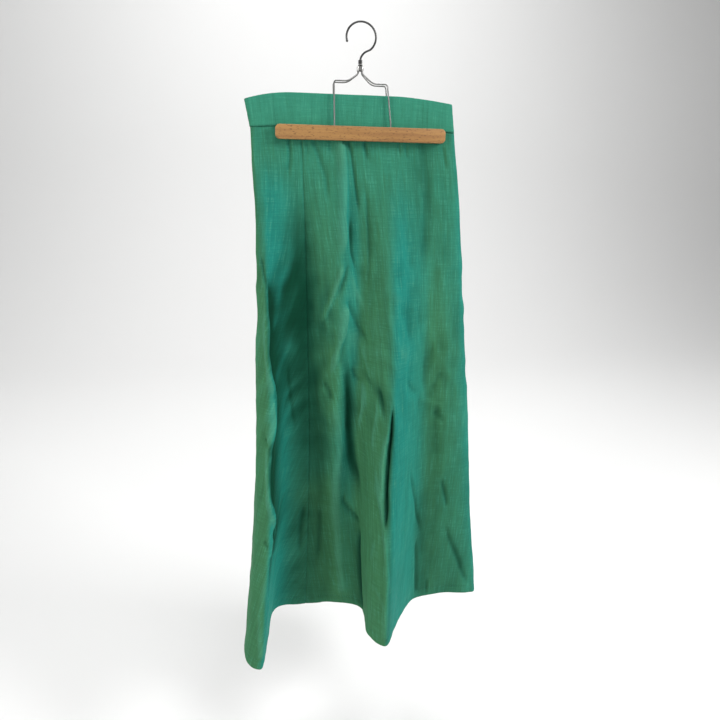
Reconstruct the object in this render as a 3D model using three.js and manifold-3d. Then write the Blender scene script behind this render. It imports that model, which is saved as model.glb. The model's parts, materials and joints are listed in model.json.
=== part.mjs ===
// Maxi skirt of shot linen, lightly gathered to a plain waistband, gripped by a wooden clamp hanger.
// Millimetres, +Z up. The origin is where the hook's inner top bears on its rail.
// The skirt hangs with its front towards -Y and its side seam turned onto that front.
import * as THREE from 'three';
import { mergeVertices } from 'three/addons/utils/BufferGeometryUtils.js';
import ManifoldModule from 'manifold-3d';

const wasm = await ManifoldModule();
wasm.setup();

// ---- driving sizes ----------------------------------------------------------------------------
const GAP = 0.3;               // between pieces that meet
const HOOK_RADIUS = 26;        // centreline of the hook's round
const HOOK_WIRE = 1.75;        // radius of the hook's wire
const HOOK_CENTRE = -(HOOK_RADIUS - HOOK_WIRE);
const BAND_TOP = -122;         // top edge of the waistband
const BAND_HEIGHT = 57;
const SKIRT_LENGTH = 975;      // waistband top to hem
const HEM_DEPTH = 15;          // turned hem
const BAND_WALL = 2.6;         // two layers of cloth with their turnings
const PANEL_WALL = 1.2;
const HEM_WALL = 2.1;          // panel cloth turned up on itself
const BAND_HALF = 4.3;         // outer face of the waistband either side of the hanging plane
const BAR = { width: 305, height: 25.4, thick: 9, corner: 8, round: 1.2, centre: 3, top: -55 };
const BAR_FACE = BAND_HALF + GAP;
const FRAME_WIRE = 1.3;        // radius of the bent frames' wire
const FRAME_OUT = BAR_FACE + BAR.thick / 2;
const NECK_OUT = 3.4;          // the necks lie this far either side of the plane
const NECK_HALF = 3.2;
const STEM_X = -1;
const LEG_HOLE = { radius: FRAME_WIRE + GAP, depth: 15 };
const ZIP = { length: 220, width: 24, thick: 1, tab: 17, tabWidth: 7, tabThick: 1 };

// ---- finishes ---------------------------------------------------------------------------------
const finish = (colour, roughness, metalness) => ({ colour, roughness, metalness });
const LINEN = finish(0x3a8c70, 0.82, 0);
const LINEN_BAND = finish(0x41917a, 0.82, 0);
const BEECH = finish(0xb9864e, 0.55, 0);
const STEEL = finish(0xa3a49e, 0.35, 1);
const DARK_STEEL = finish(0x3a3a3a, 0.45, 1);
const ZIP_CLOTH = finish(0x1d5a45, 0.8, 0);

const group = new THREE.Group();
group.name = 'maxi_skirt_on_clamp_hanger';

function add(name, geometry, { colour, roughness, metalness }) {
  const material = new THREE.MeshStandardMaterial({ color: colour, roughness, metalness });
  material.name = `${name}_finish`;
  const mesh = new THREE.Mesh(geometry, material);
  mesh.name = name;
  group.add(mesh);
}

// ---- the skirt's folds ------------------------------------------------------------------------
// One row per key line of the cloth, in order round the tube from the left edge over the front.
// x and y are given at the waist seam, the hip, the knee and the hem.
const LEVEL = { seam: -BAND_HEIGHT, clamp: -84, hip: -300, knee: -660, hem: -SKIRT_LENGTH };
const FOLD_COLUMNS = ['line', 'xSeam', 'xHip', 'xKnee', 'xHem', 'ySeam', 'yHip', 'yKnee', 'yHem', 'cuts'];
const FOLD_ROWS = [
  ['left_edge', -193, -184, -184, -205, 0, -8, -70, -138, 2],
  ['left_turn', -190, -181, -181, -195, -2.6, -16, -94, -162, 2],
  ['left_crest', -173, -167, -157, -173, -2.6, -26, -112, -174, 2],
  ['left_inner', -162, -151, -146, -158, -2.6, -19, -76, -112, 2],
  ['left_root', -147, -130, -125, -141, -2.6, -11, -36, -43, 3],
  ['side_seam', -104, -95, -89, -94, -2.6, -7, -26, -38, 3],
  ['ridge', -34, -29, -40, -31, -2.6, -25, -37, -40, 2],
  ['mid_valley', -13, 4, 0, 11, -2.6, -10, -30, -60, 2],
  ['mid_left', 12, 30, 23, 16, -2.6, -20, -68, -123, 3],
  ['mid_crest', 50, 66, 58, 45, -2.6, -34, -100, -152, 3],
  ['mid_right', 80, 95, 92, 78, -2.6, -26, -68, -98, 2],
  ['right_root', 113, 130, 134, 115, -2.6, -13, -32, -52, 2],
  ['right_flat', 144, 165, 178, 175, -2.6, -16, -32, -38, 2],
  ['right_turn', 170, 192, 214, 232, -2.6, -11, -30, -43, 2],
  ['right_edge', 175, 201, 227, 248, 0, -1, -18, -40, 2],
  ['right_back', 172, 199, 223, 241, 2.6, 7, 4, 14, 2],
  ['back_side', 155, 172, 198, 224, 2.6, 15, 42, 76, 2],
  ['back_crest_a', 140, 157, 183, 208, 2.6, 21, 68, 122, 2],
  ['back_crest_b', 124, 140, 165, 189, 2.6, 22, 72, 126, 2],
  ['back_slope_b', 112, 124, 148, 168, 2.6, 15, 46, 82, 2],
  ['back_root_b', 100, 112, 129, 146, 2.6, 9, 26, 44, 2],
  ['far_seam', 80, 87, 97, 106, 2.6, 9, 25, 42, 2],
  ['back_slope_c', 50, 59, 72, 84, 2.6, 12, 36, 62, 2],
  ['back_crest_c', 28, 38, 52, 66, 2.6, 22, 69, 122, 2],
  ['back_crest_d', 4, 13, 26, 38, 2.6, 23, 74, 130, 2],
  ['back_slope_d', -28, -16, 3, 20, 2.6, 15, 46, 80, 2],
  ['back_root_d', -50, -38, -19, -2, 2.6, 9, 24, 40, 2],
  ['back_flat', -76, -66, -52, -38, 2.6, 8, 21, 36, 2],
  ['back_slope_e', -100, -92, -80, -68, 2.6, 12, 36, 62, 2],
  ['back_crest_e', -114, -106, -94, -80, 2.6, 22, 70, 122, 2],
  ['back_crest_f', -128, -121, -110, -98, 2.6, 23, 72, 126, 2],
  ['back_slope_f', -141, -134, -124, -114, 2.6, 16, 50, 88, 2],
  ['back_root_f', -154, -148, -139, -130, 2.6, 10, 27, 46, 2],
  ['back_crest_g', -172, -169, -164, -160, 2.6, 11, 30, 52, 2],
  ['left_back_in', -182, -176, -180, -189, 2.6, 7, 4, 14, 2],
  ['left_back', -190, -183, -187, -203, 2.6, 2, -34, -70, 2],
];
const FOLDS = FOLD_ROWS.map((row) => Object.fromEntries(row.map((cell, i) => [FOLD_COLUMNS[i], cell])));
const SIDE_SEAM = FOLDS.findIndex((fold) => fold.line === 'side_seam');
const FAR_SEAM = FOLDS.findIndex((fold) => fold.line === 'far_seam');

// A smooth curve through values at falling levels, which never swings past them.
function through(levels, values, z) {
  const last = levels.length - 1;
  const slope = [];
  for (let i = 0; i < last; i += 1) slope.push((values[i + 1] - values[i]) / (levels[i + 1] - levels[i]));
  const tangent = values.map((_, i) => {
    if (i === 0) return slope[0];
    if (i === last) return slope[last - 1];
    return slope[i - 1] * slope[i] <= 0 ? 0 : (2 * slope[i - 1] * slope[i]) / (slope[i - 1] + slope[i]);
  });
  let k = 0;
  while (k < last - 1 && z < levels[k + 1]) k += 1;
  const span = levels[k + 1] - levels[k];
  const t = (z - levels[k]) / span;
  const a = 1 + 2 * t;
  const b = 3 - 2 * t;
  return a * (1 - t) ** 2 * values[k] + t * (1 - t) ** 2 * span * tangent[k]
    + t * t * b * values[k + 1] + t * t * (t - 1) * span * tangent[k + 1];
}

const X_LEVELS = [LEVEL.seam, LEVEL.hip, LEVEL.knee, LEVEL.hem];
const Y_LEVELS = [LEVEL.seam, LEVEL.clamp, LEVEL.hip, LEVEL.knee, LEVEL.hem];

// The closed curve the cloth's outer face follows at height z under the waistband's top.
function section(z) {
  const keys = FOLDS.map((f) => new THREE.Vector3(
    through(X_LEVELS, [f.xSeam, f.xHip, f.xKnee, f.xHem], z),
    through(Y_LEVELS, [f.ySeam, f.ySeam, f.yHip, f.yKnee, f.yHem], z),
    0,
  ));
  return new THREE.CatmullRomCurve3(keys, true, 'centripetal');
}

// The ends of the waistband, outside the clamp, sag away from it.
function sag(x) {
  const left = Math.max(0, (-120 - x) / 83);
  const right = Math.max(0, (x - 60) / 109);
  return 14 * left ** 2 + 10 * right ** 1.6;
}

// A closed wall between an outer and an inner grid of points, with its four rims.
function wall(rows, columns, outerAt, innerAt) {
  const positions = [];
  const at = (side, i, j) => (side * rows + i) * columns + j;
  for (const face of [outerAt, innerAt]) {
    for (let i = 0; i < rows; i += 1) {
      for (let j = 0; j < columns; j += 1) {
        const p = face(i / (rows - 1), j);
        positions.push(p.x, p.y, p.z);
      }
    }
  }
  const index = [];
  const quad = (a, b, c, d) => index.push(a, b, c, a, c, d);
  for (let i = 0; i < rows - 1; i += 1) {
    for (let j = 0; j < columns - 1; j += 1) {
      quad(at(0, i, j), at(0, i + 1, j), at(0, i + 1, j + 1), at(0, i, j + 1));
      quad(at(1, i, j), at(1, i, j + 1), at(1, i + 1, j + 1), at(1, i + 1, j));
    }
    quad(at(0, i, 0), at(1, i, 0), at(1, i + 1, 0), at(0, i + 1, 0));
    quad(at(0, i, columns - 1), at(0, i + 1, columns - 1), at(1, i + 1, columns - 1), at(1, i, columns - 1));
  }
  for (let j = 0; j < columns - 1; j += 1) {
    quad(at(0, 0, j), at(0, 0, j + 1), at(1, 0, j + 1), at(1, 0, j));
    quad(at(0, rows - 1, j), at(1, rows - 1, j), at(1, rows - 1, j + 1), at(0, rows - 1, j + 1));
  }
  const geometry = new THREE.BufferGeometry();
  geometry.setAttribute('position', new THREE.Float32BufferAttribute(positions, 3));
  geometry.setIndex(index);
  geometry.computeVertexNormals();
  return geometry;
}

// The inward direction across a section, square to the run of the curve at t.
function inward(curve, t) {
  const run = curve.getTangent(((t % 1) + 1) % 1);
  return new THREE.Vector3(-run.y, run.x, 0).normalize();
}

// Curve parameters of a panel's columns, from one key line to another round the tube.
function columnsBetween(first, last) {
  const count = FOLDS.length;
  const steps = [];
  const end = last > first ? last : last + count;
  for (let k = first; k < end; k += 1) {
    const cuts = FOLDS[k % count].cuts;
    for (let c = 0; c < cuts; c += 1) steps.push((k + c / cuts) / count);
  }
  steps.push(end / count);
  return steps;
}

// Heights of a panel's rows: close together under the clamp and through the turned hem.
const PANEL_TOP = -BAND_HEIGHT - GAP;
const ROW_LEVELS = [PANEL_TOP, -70, -84, -104, -130];
for (let k = 1; k <= 18; k += 1) {
  ROW_LEVELS.push(THREE.MathUtils.lerp(-130, -SKIRT_LENGTH + HEM_DEPTH, k / 18));
}
ROW_LEVELS.push(-SKIRT_LENGTH + HEM_DEPTH - 2, -SKIRT_LENGTH);
const SECTIONS = ROW_LEVELS.map(section);

function pointOn(curve, t) {
  return curve.getPoint(((t % 1) + 1) % 1);
}

// A point of the cloth: depth is inwards from its outer face, edge shifts it along the section.
function panelPoint(row, t, depth, edge = 0) {
  const curve = SECTIONS[row];
  const p = pointOn(curve, t);
  const push = inward(curve, t);
  p.addScaledVector(push, depth);
  p.x += push.y * edge;
  p.y -= push.x * edge;
  const share = THREE.MathUtils.clamp((p.z + 1) * (1 - (PANEL_TOP - ROW_LEVELS[row]) / 120), 0, 1);
  p.z = BAND_TOP + ROW_LEVELS[row] - 0.3 * sag(p.x) * share;
  return p;
}

function panel(first, last) {
  const steps = columnsBetween(first, last);
  const rows = ROW_LEVELS.length;
  const rowOf = (v) => Math.round(v * (rows - 1));
  const depthOf = (row) => (ROW_LEVELS[row] < -SKIRT_LENGTH + HEM_DEPTH - 1 ? HEM_WALL : PANEL_WALL);
  const edgeOf = (j) => (GAP / 2) * ((j === 0) - (j === steps.length - 1));
  return wall(
    rows,
    steps.length,
    (v, j) => panelPoint(rowOf(v), steps[j], 0, edgeOf(j)),
    (v, j) => panelPoint(rowOf(v), steps[j], depthOf(rowOf(v)), edgeOf(j)),
  );
}

// ---- waistband --------------------------------------------------------------------------------
const BAND_LEFT = { top: -203, foot: -194 };
const BAND_RIGHT = { top: 169, foot: 175 };
const BAND_ROWS = 5;
const SEAM_X = FOLDS[SIDE_SEAM].xSeam;

// Stops round the flattened ring, from the side seam over the right end to the back and home.
function bandStops() {
  const stops = [];
  const straight = (from, to, side, count) => {
    for (let k = 0; k < count; k += 1) {
      stops.push({ along: THREE.MathUtils.lerp(from, to, k / count), side, turn: null });
    }
  };
  const turn = (end) => {
    for (let k = 0; k < 8; k += 1) stops.push({ end, turn: k / 8 });
  };
  const share = (SEAM_X - BAND_LEFT.foot) / (BAND_RIGHT.foot - BAND_LEFT.foot);
  straight(share, 1, -1, 10);
  turn('right');
  straight(1, 0, 1, 14);
  turn('left');
  straight(0, share, -1, 4);
  stops.push({ along: share, side: -1, turn: null });
  return stops;
}

function bandPoint(stop, v, depth, last, first) {
  const left = THREE.MathUtils.lerp(BAND_LEFT.top, BAND_LEFT.foot, v) + BAND_HALF;
  const right = THREE.MathUtils.lerp(BAND_RIGHT.top, BAND_RIGHT.foot, v) - BAND_HALF;
  const reach = BAND_HALF - depth;
  const p = new THREE.Vector3();
  if (stop.turn === null) {
    p.set(THREE.MathUtils.lerp(left, right, stop.along), stop.side * reach, 0);
    if (first) p.x += GAP / 2;
    if (last) p.x -= GAP / 2;
  } else {
    const angle = (stop.end === 'right' ? -0.5 : 0.5) * Math.PI + stop.turn * Math.PI;
    p.set((stop.end === 'right' ? right : left) + reach * Math.cos(angle), reach * Math.sin(angle), 0);
  }
  p.z = BAND_TOP - BAND_HEIGHT * v - sag(p.x) * THREE.MathUtils.lerp(1, 0.3, v);
  return p;
}

function waistband() {
  const stops = bandStops();
  const at = (v, j, depth) => bandPoint(stops[j], v, depth, j === stops.length - 1, j === 0);
  return wall(BAND_ROWS, stops.length, (v, j) => at(v, j, 0), (v, j) => at(v, j, BAND_WALL));
}

// ---- concealed zip ----------------------------------------------------------------------------
// The closed tape lies inside the panels, along the side seam; it is the panels' own points moved in.
function zipTape() {
  const rows = ROW_LEVELS.filter((z) => z > -BAND_HEIGHT - ZIP.length - 20).length;
  const spread = [-1, -0.5, 0, 0.5, 1];
  const at = (v, j, depth) => {
    const row = Math.round(v * (rows - 1));
    const t = SIDE_SEAM / FOLDS.length;
    const centre = panelPoint(row, t, 0);
    const side = panelPoint(row, t + 0.01, 0).sub(panelPoint(row, t - 0.01, 0));
    side.z = 0;
    side.normalize();
    const push = new THREE.Vector3(-side.y, side.x, 0);
    const p = centre.clone().addScaledVector(side, (spread[j] * ZIP.width) / 2);
    const bow = zipBow(row, p, push);
    return p.addScaledVector(push, bow + depth);
  };
  return wall(
    rows,
    spread.length,
    (v, j) => at(v, j, PANEL_WALL + GAP),
    (v, j) => at(v, j, PANEL_WALL + GAP + ZIP.thick),
  );
}

// How far the cloth's outer face stands off the tape's flat line at a point beside the seam.
function zipBow(row, point, push) {
  const curve = SECTIONS[row];
  let best = 0;
  let nearest = Infinity;
  for (let k = -40; k <= 40; k += 1) {
    const t = SIDE_SEAM / FOLDS.length + k * 0.0004;
    const q = curve.getPoint(t);
    const away = new THREE.Vector3(q.x - point.x, q.y - point.y, 0);
    const depth = away.dot(push);
    const off = away.addScaledVector(push, -depth).length();
    if (off < nearest) {
      nearest = off;
      best = depth;
    }
  }
  return best;
}

function zipTab() {
  const half = ZIP.tabWidth / 2;
  const shape = new THREE.Shape();
  shape.moveTo(-half * 0.6, 0);
  shape.lineTo(-half, -ZIP.tab + half);
  shape.absarc(0, -ZIP.tab + half, half, Math.PI, 2 * Math.PI, false);
  shape.lineTo(half * 0.6, 0);
  shape.closePath();
  const geometry = new THREE.ExtrudeGeometry(shape, {
    depth: ZIP.tabThick, bevelEnabled: false, curveSegments: 8, steps: 1,
  });
  geometry.rotateX(Math.PI / 2);
  geometry.translate(SEAM_X, -2.6 - GAP, BAND_TOP - BAND_HEIGHT - 3.5);
  return geometry;
}

// ---- hanger -----------------------------------------------------------------------------------
function solidOf(geometry) {
  const plain = geometry.clone();
  plain.deleteAttribute('normal');
  plain.deleteAttribute('uv');
  const merged = mergeVertices(plain, 1e-4);
  return new wasm.Manifold(new wasm.Mesh({
    numProp: 3,
    vertProperties: new Float32Array(merged.attributes.position.array),
    triVerts: new Uint32Array(merged.index.array),
  }));
}

function geometryOf(solid) {
  const mesh = solid.getMesh();
  const geometry = new THREE.BufferGeometry();
  geometry.setAttribute('position', new THREE.BufferAttribute(new Float32Array(mesh.vertProperties), 3));
  geometry.setIndex(new THREE.BufferAttribute(new Uint32Array(mesh.triVerts), 1));
  geometry.computeVertexNormals();
  return geometry;
}

function roundedRectangle(width, height, radius) {
  const x = width / 2;
  const y = height / 2;
  const shape = new THREE.Shape();
  shape.moveTo(-x + radius, -y);
  shape.lineTo(x - radius, -y);
  shape.absarc(x - radius, -y + radius, radius, -Math.PI / 2, 0, false);
  shape.lineTo(x, y - radius);
  shape.absarc(x - radius, y - radius, radius, 0, Math.PI / 2, false);
  shape.lineTo(-x + radius, y);
  shape.absarc(-x + radius, y - radius, radius, Math.PI / 2, Math.PI, false);
  shape.lineTo(-x, -y + radius);
  shape.absarc(-x + radius, -y + radius, radius, Math.PI, 1.5 * Math.PI, false);
  return shape;
}

const LEG_X = { left: -46, right: 55 };
const BAR_TOP = BAND_TOP + BAR.top;

// One wooden bar, front or back, drilled in its top edge for the frame's two legs.
function clampBar(side) {
  const inset = BAR.round;
  const shape = roundedRectangle(BAR.width - 2 * inset, BAR.height - 2 * inset, BAR.corner - inset);
  const body = new THREE.ExtrudeGeometry(shape, {
    depth: BAR.thick - 2 * inset,
    bevelEnabled: true,
    bevelSize: inset,
    bevelThickness: inset,
    bevelSegments: 3,
    curveSegments: 6,
    steps: 1,
  });
  body.translate(0, 0, -BAR.thick / 2 + inset);
  body.rotateX(Math.PI / 2);
  body.translate(BAR.centre, side * FRAME_OUT, BAR_TOP - BAR.height / 2);
  let solid = solidOf(body);
  for (const x of [LEG_X.left, LEG_X.right]) {
    const hole = new THREE.CylinderGeometry(LEG_HOLE.radius, LEG_HOLE.radius, LEG_HOLE.depth + 2, 16);
    hole.rotateX(Math.PI / 2);
    hole.translate(x, side * FRAME_OUT, BAR_TOP + 2 - (LEG_HOLE.depth + 2) / 2);
    solid = solid.subtract(solidOf(hole));
  }
  return geometryOf(solid);
}

const circle = (radius) => new THREE.Shape().absarc(0, 0, radius, 0, 2 * Math.PI, false);

function wireAlong(points, radius, steps, sides) {
  return new THREE.ExtrudeGeometry(circle(radius), {
    steps, bevelEnabled: false, curveSegments: sides, extrudePath: points,
  });
}

// Straight runs joined by rounded corners, as bent wire.
function bentPath(corners, radii) {
  const path = new THREE.CurvePath();
  let from = corners[0];
  for (let k = 1; k < corners.length - 1; k += 1) {
    const corner = corners[k];
    const before = corners[k - 1].clone().sub(corner).normalize().multiplyScalar(radii[k - 1]);
    const after = corners[k + 1].clone().sub(corner).normalize().multiplyScalar(radii[k - 1]);
    const entry = corner.clone().add(before);
    const exit = corner.clone().add(after);
    path.add(new THREE.LineCurve3(from, entry));
    path.add(new THREE.QuadraticBezierCurve3(entry, corner, exit));
    from = exit;
  }
  path.add(new THREE.LineCurve3(from, corners[corners.length - 1]));
  return path;
}

// One bent-wire frame: leg, shoulder, neck, a small turn over the top, and down the other side.
function wireFrame(side) {
  const at = (x, out, z) => new THREE.Vector3(x, side * out, BAND_TOP + z);
  const foot = BAR.top - LEG_HOLE.depth + GAP;
  const corners = [
    at(LEG_X.left, FRAME_OUT, foot),
    at(LEG_X.left, FRAME_OUT, BAR.top + 3),
    at(-47.5, FRAME_OUT, 22),
    at(-23, FRAME_OUT, 22),
    at(STEM_X - NECK_HALF, NECK_OUT, 36),
    at(STEM_X - NECK_HALF, NECK_OUT, 51.5),
    at(STEM_X + NECK_HALF, NECK_OUT, 51.5),
    at(STEM_X + NECK_HALF, NECK_OUT, 36),
    at(21, FRAME_OUT, 18.5),
    at(47, FRAME_OUT, 18.5),
    at(LEG_X.right, FRAME_OUT, BAR.top + 3),
    at(LEG_X.right, FRAME_OUT, foot),
  ];
  const path = bentPath(corners, [1.2, 4.5, 8, 4, 2.6, 2.6, 4, 8, 4.5, 1.2]);
  return wireAlong(path, FRAME_WIRE, 110, 6);
}

// The sliding collar round the four necks: pushed down it closes the bars on the cloth.
function slidingCollar() {
  const x = NECK_HALF + FRAME_WIRE + GAP;
  const y = NECK_OUT + FRAME_WIRE + GAP;
  const outer = roundedRectangle(2 * x + 2, 2 * y + 2, 3);
  outer.holes.push(new THREE.Path(roundedRectangle(2 * x, 2 * y, 2).getPoints(6).reverse()));
  const geometry = new THREE.ExtrudeGeometry(outer, {
    depth: 7, bevelEnabled: false, curveSegments: 5, steps: 1,
  });
  geometry.translate(STEM_X, 0, BAND_TOP + 41);
  return geometry;
}

// Turned body about the stem: its profile starts and ends on the axis.
function turned(profile) {
  const points = profile.map(([radius, z]) => new THREE.Vector2(radius, z));
  const geometry = new THREE.LatheGeometry(points, 20);
  geometry.rotateX(Math.PI / 2);
  geometry.translate(STEM_X, 0, BAND_TOP);
  return geometry;
}

// Hook: a button under the frames' turns, a wound ferrule over them, and the round of the hook.
function hook() {
  const button = turned([[0, 44.4], [2.6, 44.4], [3, 45], [3, 46.6], [2.6, 47.4], [0, 47.4]]);
  const ferrule = [[0, 53.3]];
  for (let k = 0; k < 3; k += 1) {
    const z = 53.3 + k * 2;
    ferrule.push([3.1, z], [3.7, z + 0.5], [3.7, z + 1.4], [3.1, z + 1.9]);
  }
  ferrule.push([2.4, 60], [0, 60]);
  const start = -0.87;
  const points = [
    new THREE.Vector3(STEM_X, 0, BAND_TOP + 46),
    new THREE.Vector3(STEM_X, 0, BAND_TOP + 58),
    new THREE.Vector3(0.6, 0, BAND_TOP + 65),
    new THREE.Vector3(6.6, 0, BAND_TOP + 72.5),
  ];
  const arcs = 16;
  for (let k = 0; k <= arcs; k += 1) {
    const angle = THREE.MathUtils.lerp(start, Math.PI + 0.28, k / arcs);
    points.push(new THREE.Vector3(
      HOOK_RADIUS * Math.cos(angle), 0, HOOK_CENTRE + HOOK_RADIUS * Math.sin(angle),
    ));
  }
  const path = new THREE.CatmullRomCurve3(points, false, 'centripetal');
  const wire = wireAlong(path, HOOK_WIRE, 96, 6);
  const end = points[points.length - 1];
  const tip = new THREE.SphereGeometry(HOOK_WIRE * 1.25, 12, 8);
  tip.rotateX(Math.PI / 2);
  tip.translate(end.x, end.y, end.z);
  const parts = [button, turned(ferrule), wire, tip].map(solidOf);
  return geometryOf(parts.reduce((whole, piece) => whole.add(piece)));
}

// ---- the whole --------------------------------------------------------------------------------
add('waistband', waistband(), LINEN_BAND);
add('front_panel', panel(SIDE_SEAM, FAR_SEAM), LINEN);
add('back_panel', panel(FAR_SEAM, SIDE_SEAM), LINEN);
add('zip_tape', zipTape(), ZIP_CLOTH);
add('zip_tab', zipTab(), DARK_STEEL);
add('bar_front', clampBar(-1), BEECH);
add('bar_back', clampBar(1), BEECH);
add('frame_front', wireFrame(-1), STEEL);
add('frame_back', wireFrame(1), STEEL);
add('collar', slidingCollar(), STEEL);
add('hook', hook(), DARK_STEEL);

export default group;
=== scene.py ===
"""A maxi skirt in cross-dyed linen, held by its waistband in a wooden clamp hanger.

Sizes are in millimetres in the row frame, with heights taken from the top of the waistband
where a name says so, and every mesh is made in metres.
"""

import json
import logging
import math
from dataclasses import dataclass, field
from enum import Enum
from typing import Any, Optional, Sequence

import bmesh
import bpy
import numpy as np
from mathutils import Matrix, Vector, noise

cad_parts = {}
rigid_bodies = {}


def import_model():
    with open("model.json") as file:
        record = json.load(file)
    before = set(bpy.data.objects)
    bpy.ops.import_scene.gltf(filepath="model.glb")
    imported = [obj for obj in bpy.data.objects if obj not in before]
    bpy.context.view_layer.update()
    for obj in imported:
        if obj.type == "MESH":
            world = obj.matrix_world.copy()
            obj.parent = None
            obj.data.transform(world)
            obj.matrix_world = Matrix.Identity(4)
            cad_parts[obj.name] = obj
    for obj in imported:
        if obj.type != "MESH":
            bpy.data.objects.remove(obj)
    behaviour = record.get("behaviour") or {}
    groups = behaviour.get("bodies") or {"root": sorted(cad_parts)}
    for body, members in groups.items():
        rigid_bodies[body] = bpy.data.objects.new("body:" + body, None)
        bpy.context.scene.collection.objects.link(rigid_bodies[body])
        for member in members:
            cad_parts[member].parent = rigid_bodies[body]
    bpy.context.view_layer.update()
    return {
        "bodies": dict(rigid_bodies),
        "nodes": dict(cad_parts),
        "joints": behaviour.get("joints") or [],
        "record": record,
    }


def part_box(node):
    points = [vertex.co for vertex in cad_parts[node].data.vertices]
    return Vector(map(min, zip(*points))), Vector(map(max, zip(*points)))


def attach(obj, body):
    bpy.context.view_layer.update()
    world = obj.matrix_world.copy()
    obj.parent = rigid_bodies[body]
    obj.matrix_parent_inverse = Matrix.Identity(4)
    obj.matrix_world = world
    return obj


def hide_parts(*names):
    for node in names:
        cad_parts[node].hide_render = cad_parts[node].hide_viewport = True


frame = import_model()

LOG = logging.getLogger("maxi_skirt")

MM = 0.001
BODY = "root"
BAND_TOP = -122.0
BAND_HEIGHT = 57.0
BAND_HALF = 4.3
SKIRT_LENGTH = 975.0
HEM_DEPTH = 15.0
GAP = 0.3
UNDER_BAND = -90.0
AT_HEM = -930.0
Colour = tuple[float, float, float]


class FoldLine(Enum):
    """Key lines of the cloth, in order round the tube from the left edge over the front.

    Each holds x at the waist seam, hip, knee and hem, then y at the same four levels.
    """

    LEFT_EDGE = (-193, -184, -184, -205, 0, -8, -70, -138)
    LEFT_TURN = (-190, -181, -181, -195, -2.6, -16, -94, -162)
    LEFT_CREST = (-173, -167, -157, -173, -2.6, -26, -112, -174)
    LEFT_INNER = (-162, -151, -149, -165, -2.6, -19, -76, -112)
    LEFT_ROOT = (-147, -130, -131, -151, -2.6, -11, -36, -43)
    SIDE_SEAM = (-104, -95, -89, -94, -2.6, -7, -26, -38)
    RIDGE = (-34, -29, -40, -31, -2.6, -25, -37, -40)
    MID_VALLEY = (-13, 4, 0, 11, -2.6, -10, -30, -60)
    MID_LEFT = (12, 30, 23, 16, -2.6, -20, -68, -123)
    MID_CREST = (50, 66, 58, 45, -2.6, -34, -100, -152)
    MID_RIGHT = (80, 95, 92, 78, -2.6, -26, -68, -98)
    RIGHT_ROOT = (113, 130, 134, 115, -2.6, -13, -32, -52)
    RIGHT_FLAT = (144, 165, 178, 175, -2.6, -16, -32, -38)
    RIGHT_TURN = (170, 192, 214, 232, -2.6, -11, -30, -43)
    RIGHT_EDGE = (175, 201, 227, 248, 0, -1, -18, -40)
    RIGHT_BACK = (172, 199, 223, 241, 2.6, 7, 4, 14)
    BACK_SIDE = (155, 172, 198, 224, 2.6, 15, 42, 76)
    BACK_CREST_A = (140, 157, 183, 208, 2.6, 21, 68, 122)
    BACK_CREST_B = (124, 140, 165, 189, 2.6, 22, 72, 126)
    BACK_SLOPE_B = (112, 124, 148, 168, 2.6, 15, 46, 82)
    BACK_ROOT_B = (100, 112, 129, 146, 2.6, 9, 26, 44)
    FAR_SEAM = (80, 87, 97, 106, 2.6, 9, 25, 42)
    BACK_SLOPE_C = (50, 59, 72, 84, 2.6, 12, 36, 62)
    BACK_CREST_C = (28, 38, 52, 66, 2.6, 22, 69, 122)
    BACK_CREST_D = (4, 13, 26, 38, 2.6, 23, 74, 130)
    BACK_SLOPE_D = (-28, -16, 3, 20, 2.6, 15, 46, 80)
    BACK_ROOT_D = (-50, -38, -19, -2, 2.6, 9, 24, 40)
    BACK_FLAT = (-76, -66, -52, -38, 2.6, 8, 21, 36)
    BACK_SLOPE_E = (-100, -92, -80, -68, 2.6, 12, 36, 62)
    BACK_CREST_E = (-114, -106, -94, -80, 2.6, 22, 70, 122)
    BACK_CREST_F = (-128, -121, -110, -98, 2.6, 23, 72, 126)
    BACK_SLOPE_F = (-141, -134, -124, -114, 2.6, 16, 50, 88)
    BACK_ROOT_F = (-154, -148, -139, -130, 2.6, 10, 27, 46)
    BACK_CREST_G = (-172, -169, -164, -160, 2.6, 11, 30, 52)
    LEFT_BACK_IN = (-182, -176, -180, -189, 2.6, 7, 4, 14)
    LEFT_BACK = (-190, -183, -187, -203, 2.6, 2, -34, -70)

    @classmethod
    def place(cls, line: "FoldLine") -> int:
        """The line's place in the order round the tube."""
        return list(cls).index(line)


def smooth(low: float, high: float, value: Any) -> Any:
    """A soft step from 0 at low to 1 at high."""
    share = np.clip((value - low) / (high - low), 0.0, 1.0)
    return share * share * (3.0 - 2.0 * share)


def arc(points: np.ndarray) -> np.ndarray:
    """Lengths along a line of points, from 0 at its first."""
    return np.concatenate([[0.0], np.cumsum(np.sqrt((np.diff(points, axis=0) ** 2).sum(axis=1)))])


def sag(x: Any) -> Any:
    """How far the waistband's end at x drops beside the clamp, in mm."""
    left = np.maximum(0.0, (-120.0 - x) / 83.0)
    right = np.maximum(0.0, (x - 60.0) / 109.0)
    return 14.0 * left**2 + 10.0 * right**1.6


# ---- shader arithmetic ------------------------------------------------------------------------


def feed(tree: bpy.types.NodeTree, socket: bpy.types.NodeSocket, value: Any) -> None:
    """Links a wire to a socket, or writes a number, three numbers or a colour there.

    Args:
        tree: the socket's node tree.
        socket: the socket.
        value: a wire, or what the socket holds all over.
    """
    if isinstance(value, Wire):
        tree.links.new(value.socket, socket)
    elif socket.type == "RGBA" and len(value) == 3:
        socket.default_value = (*value, 1.0)
    else:
        socket.default_value = value


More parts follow.
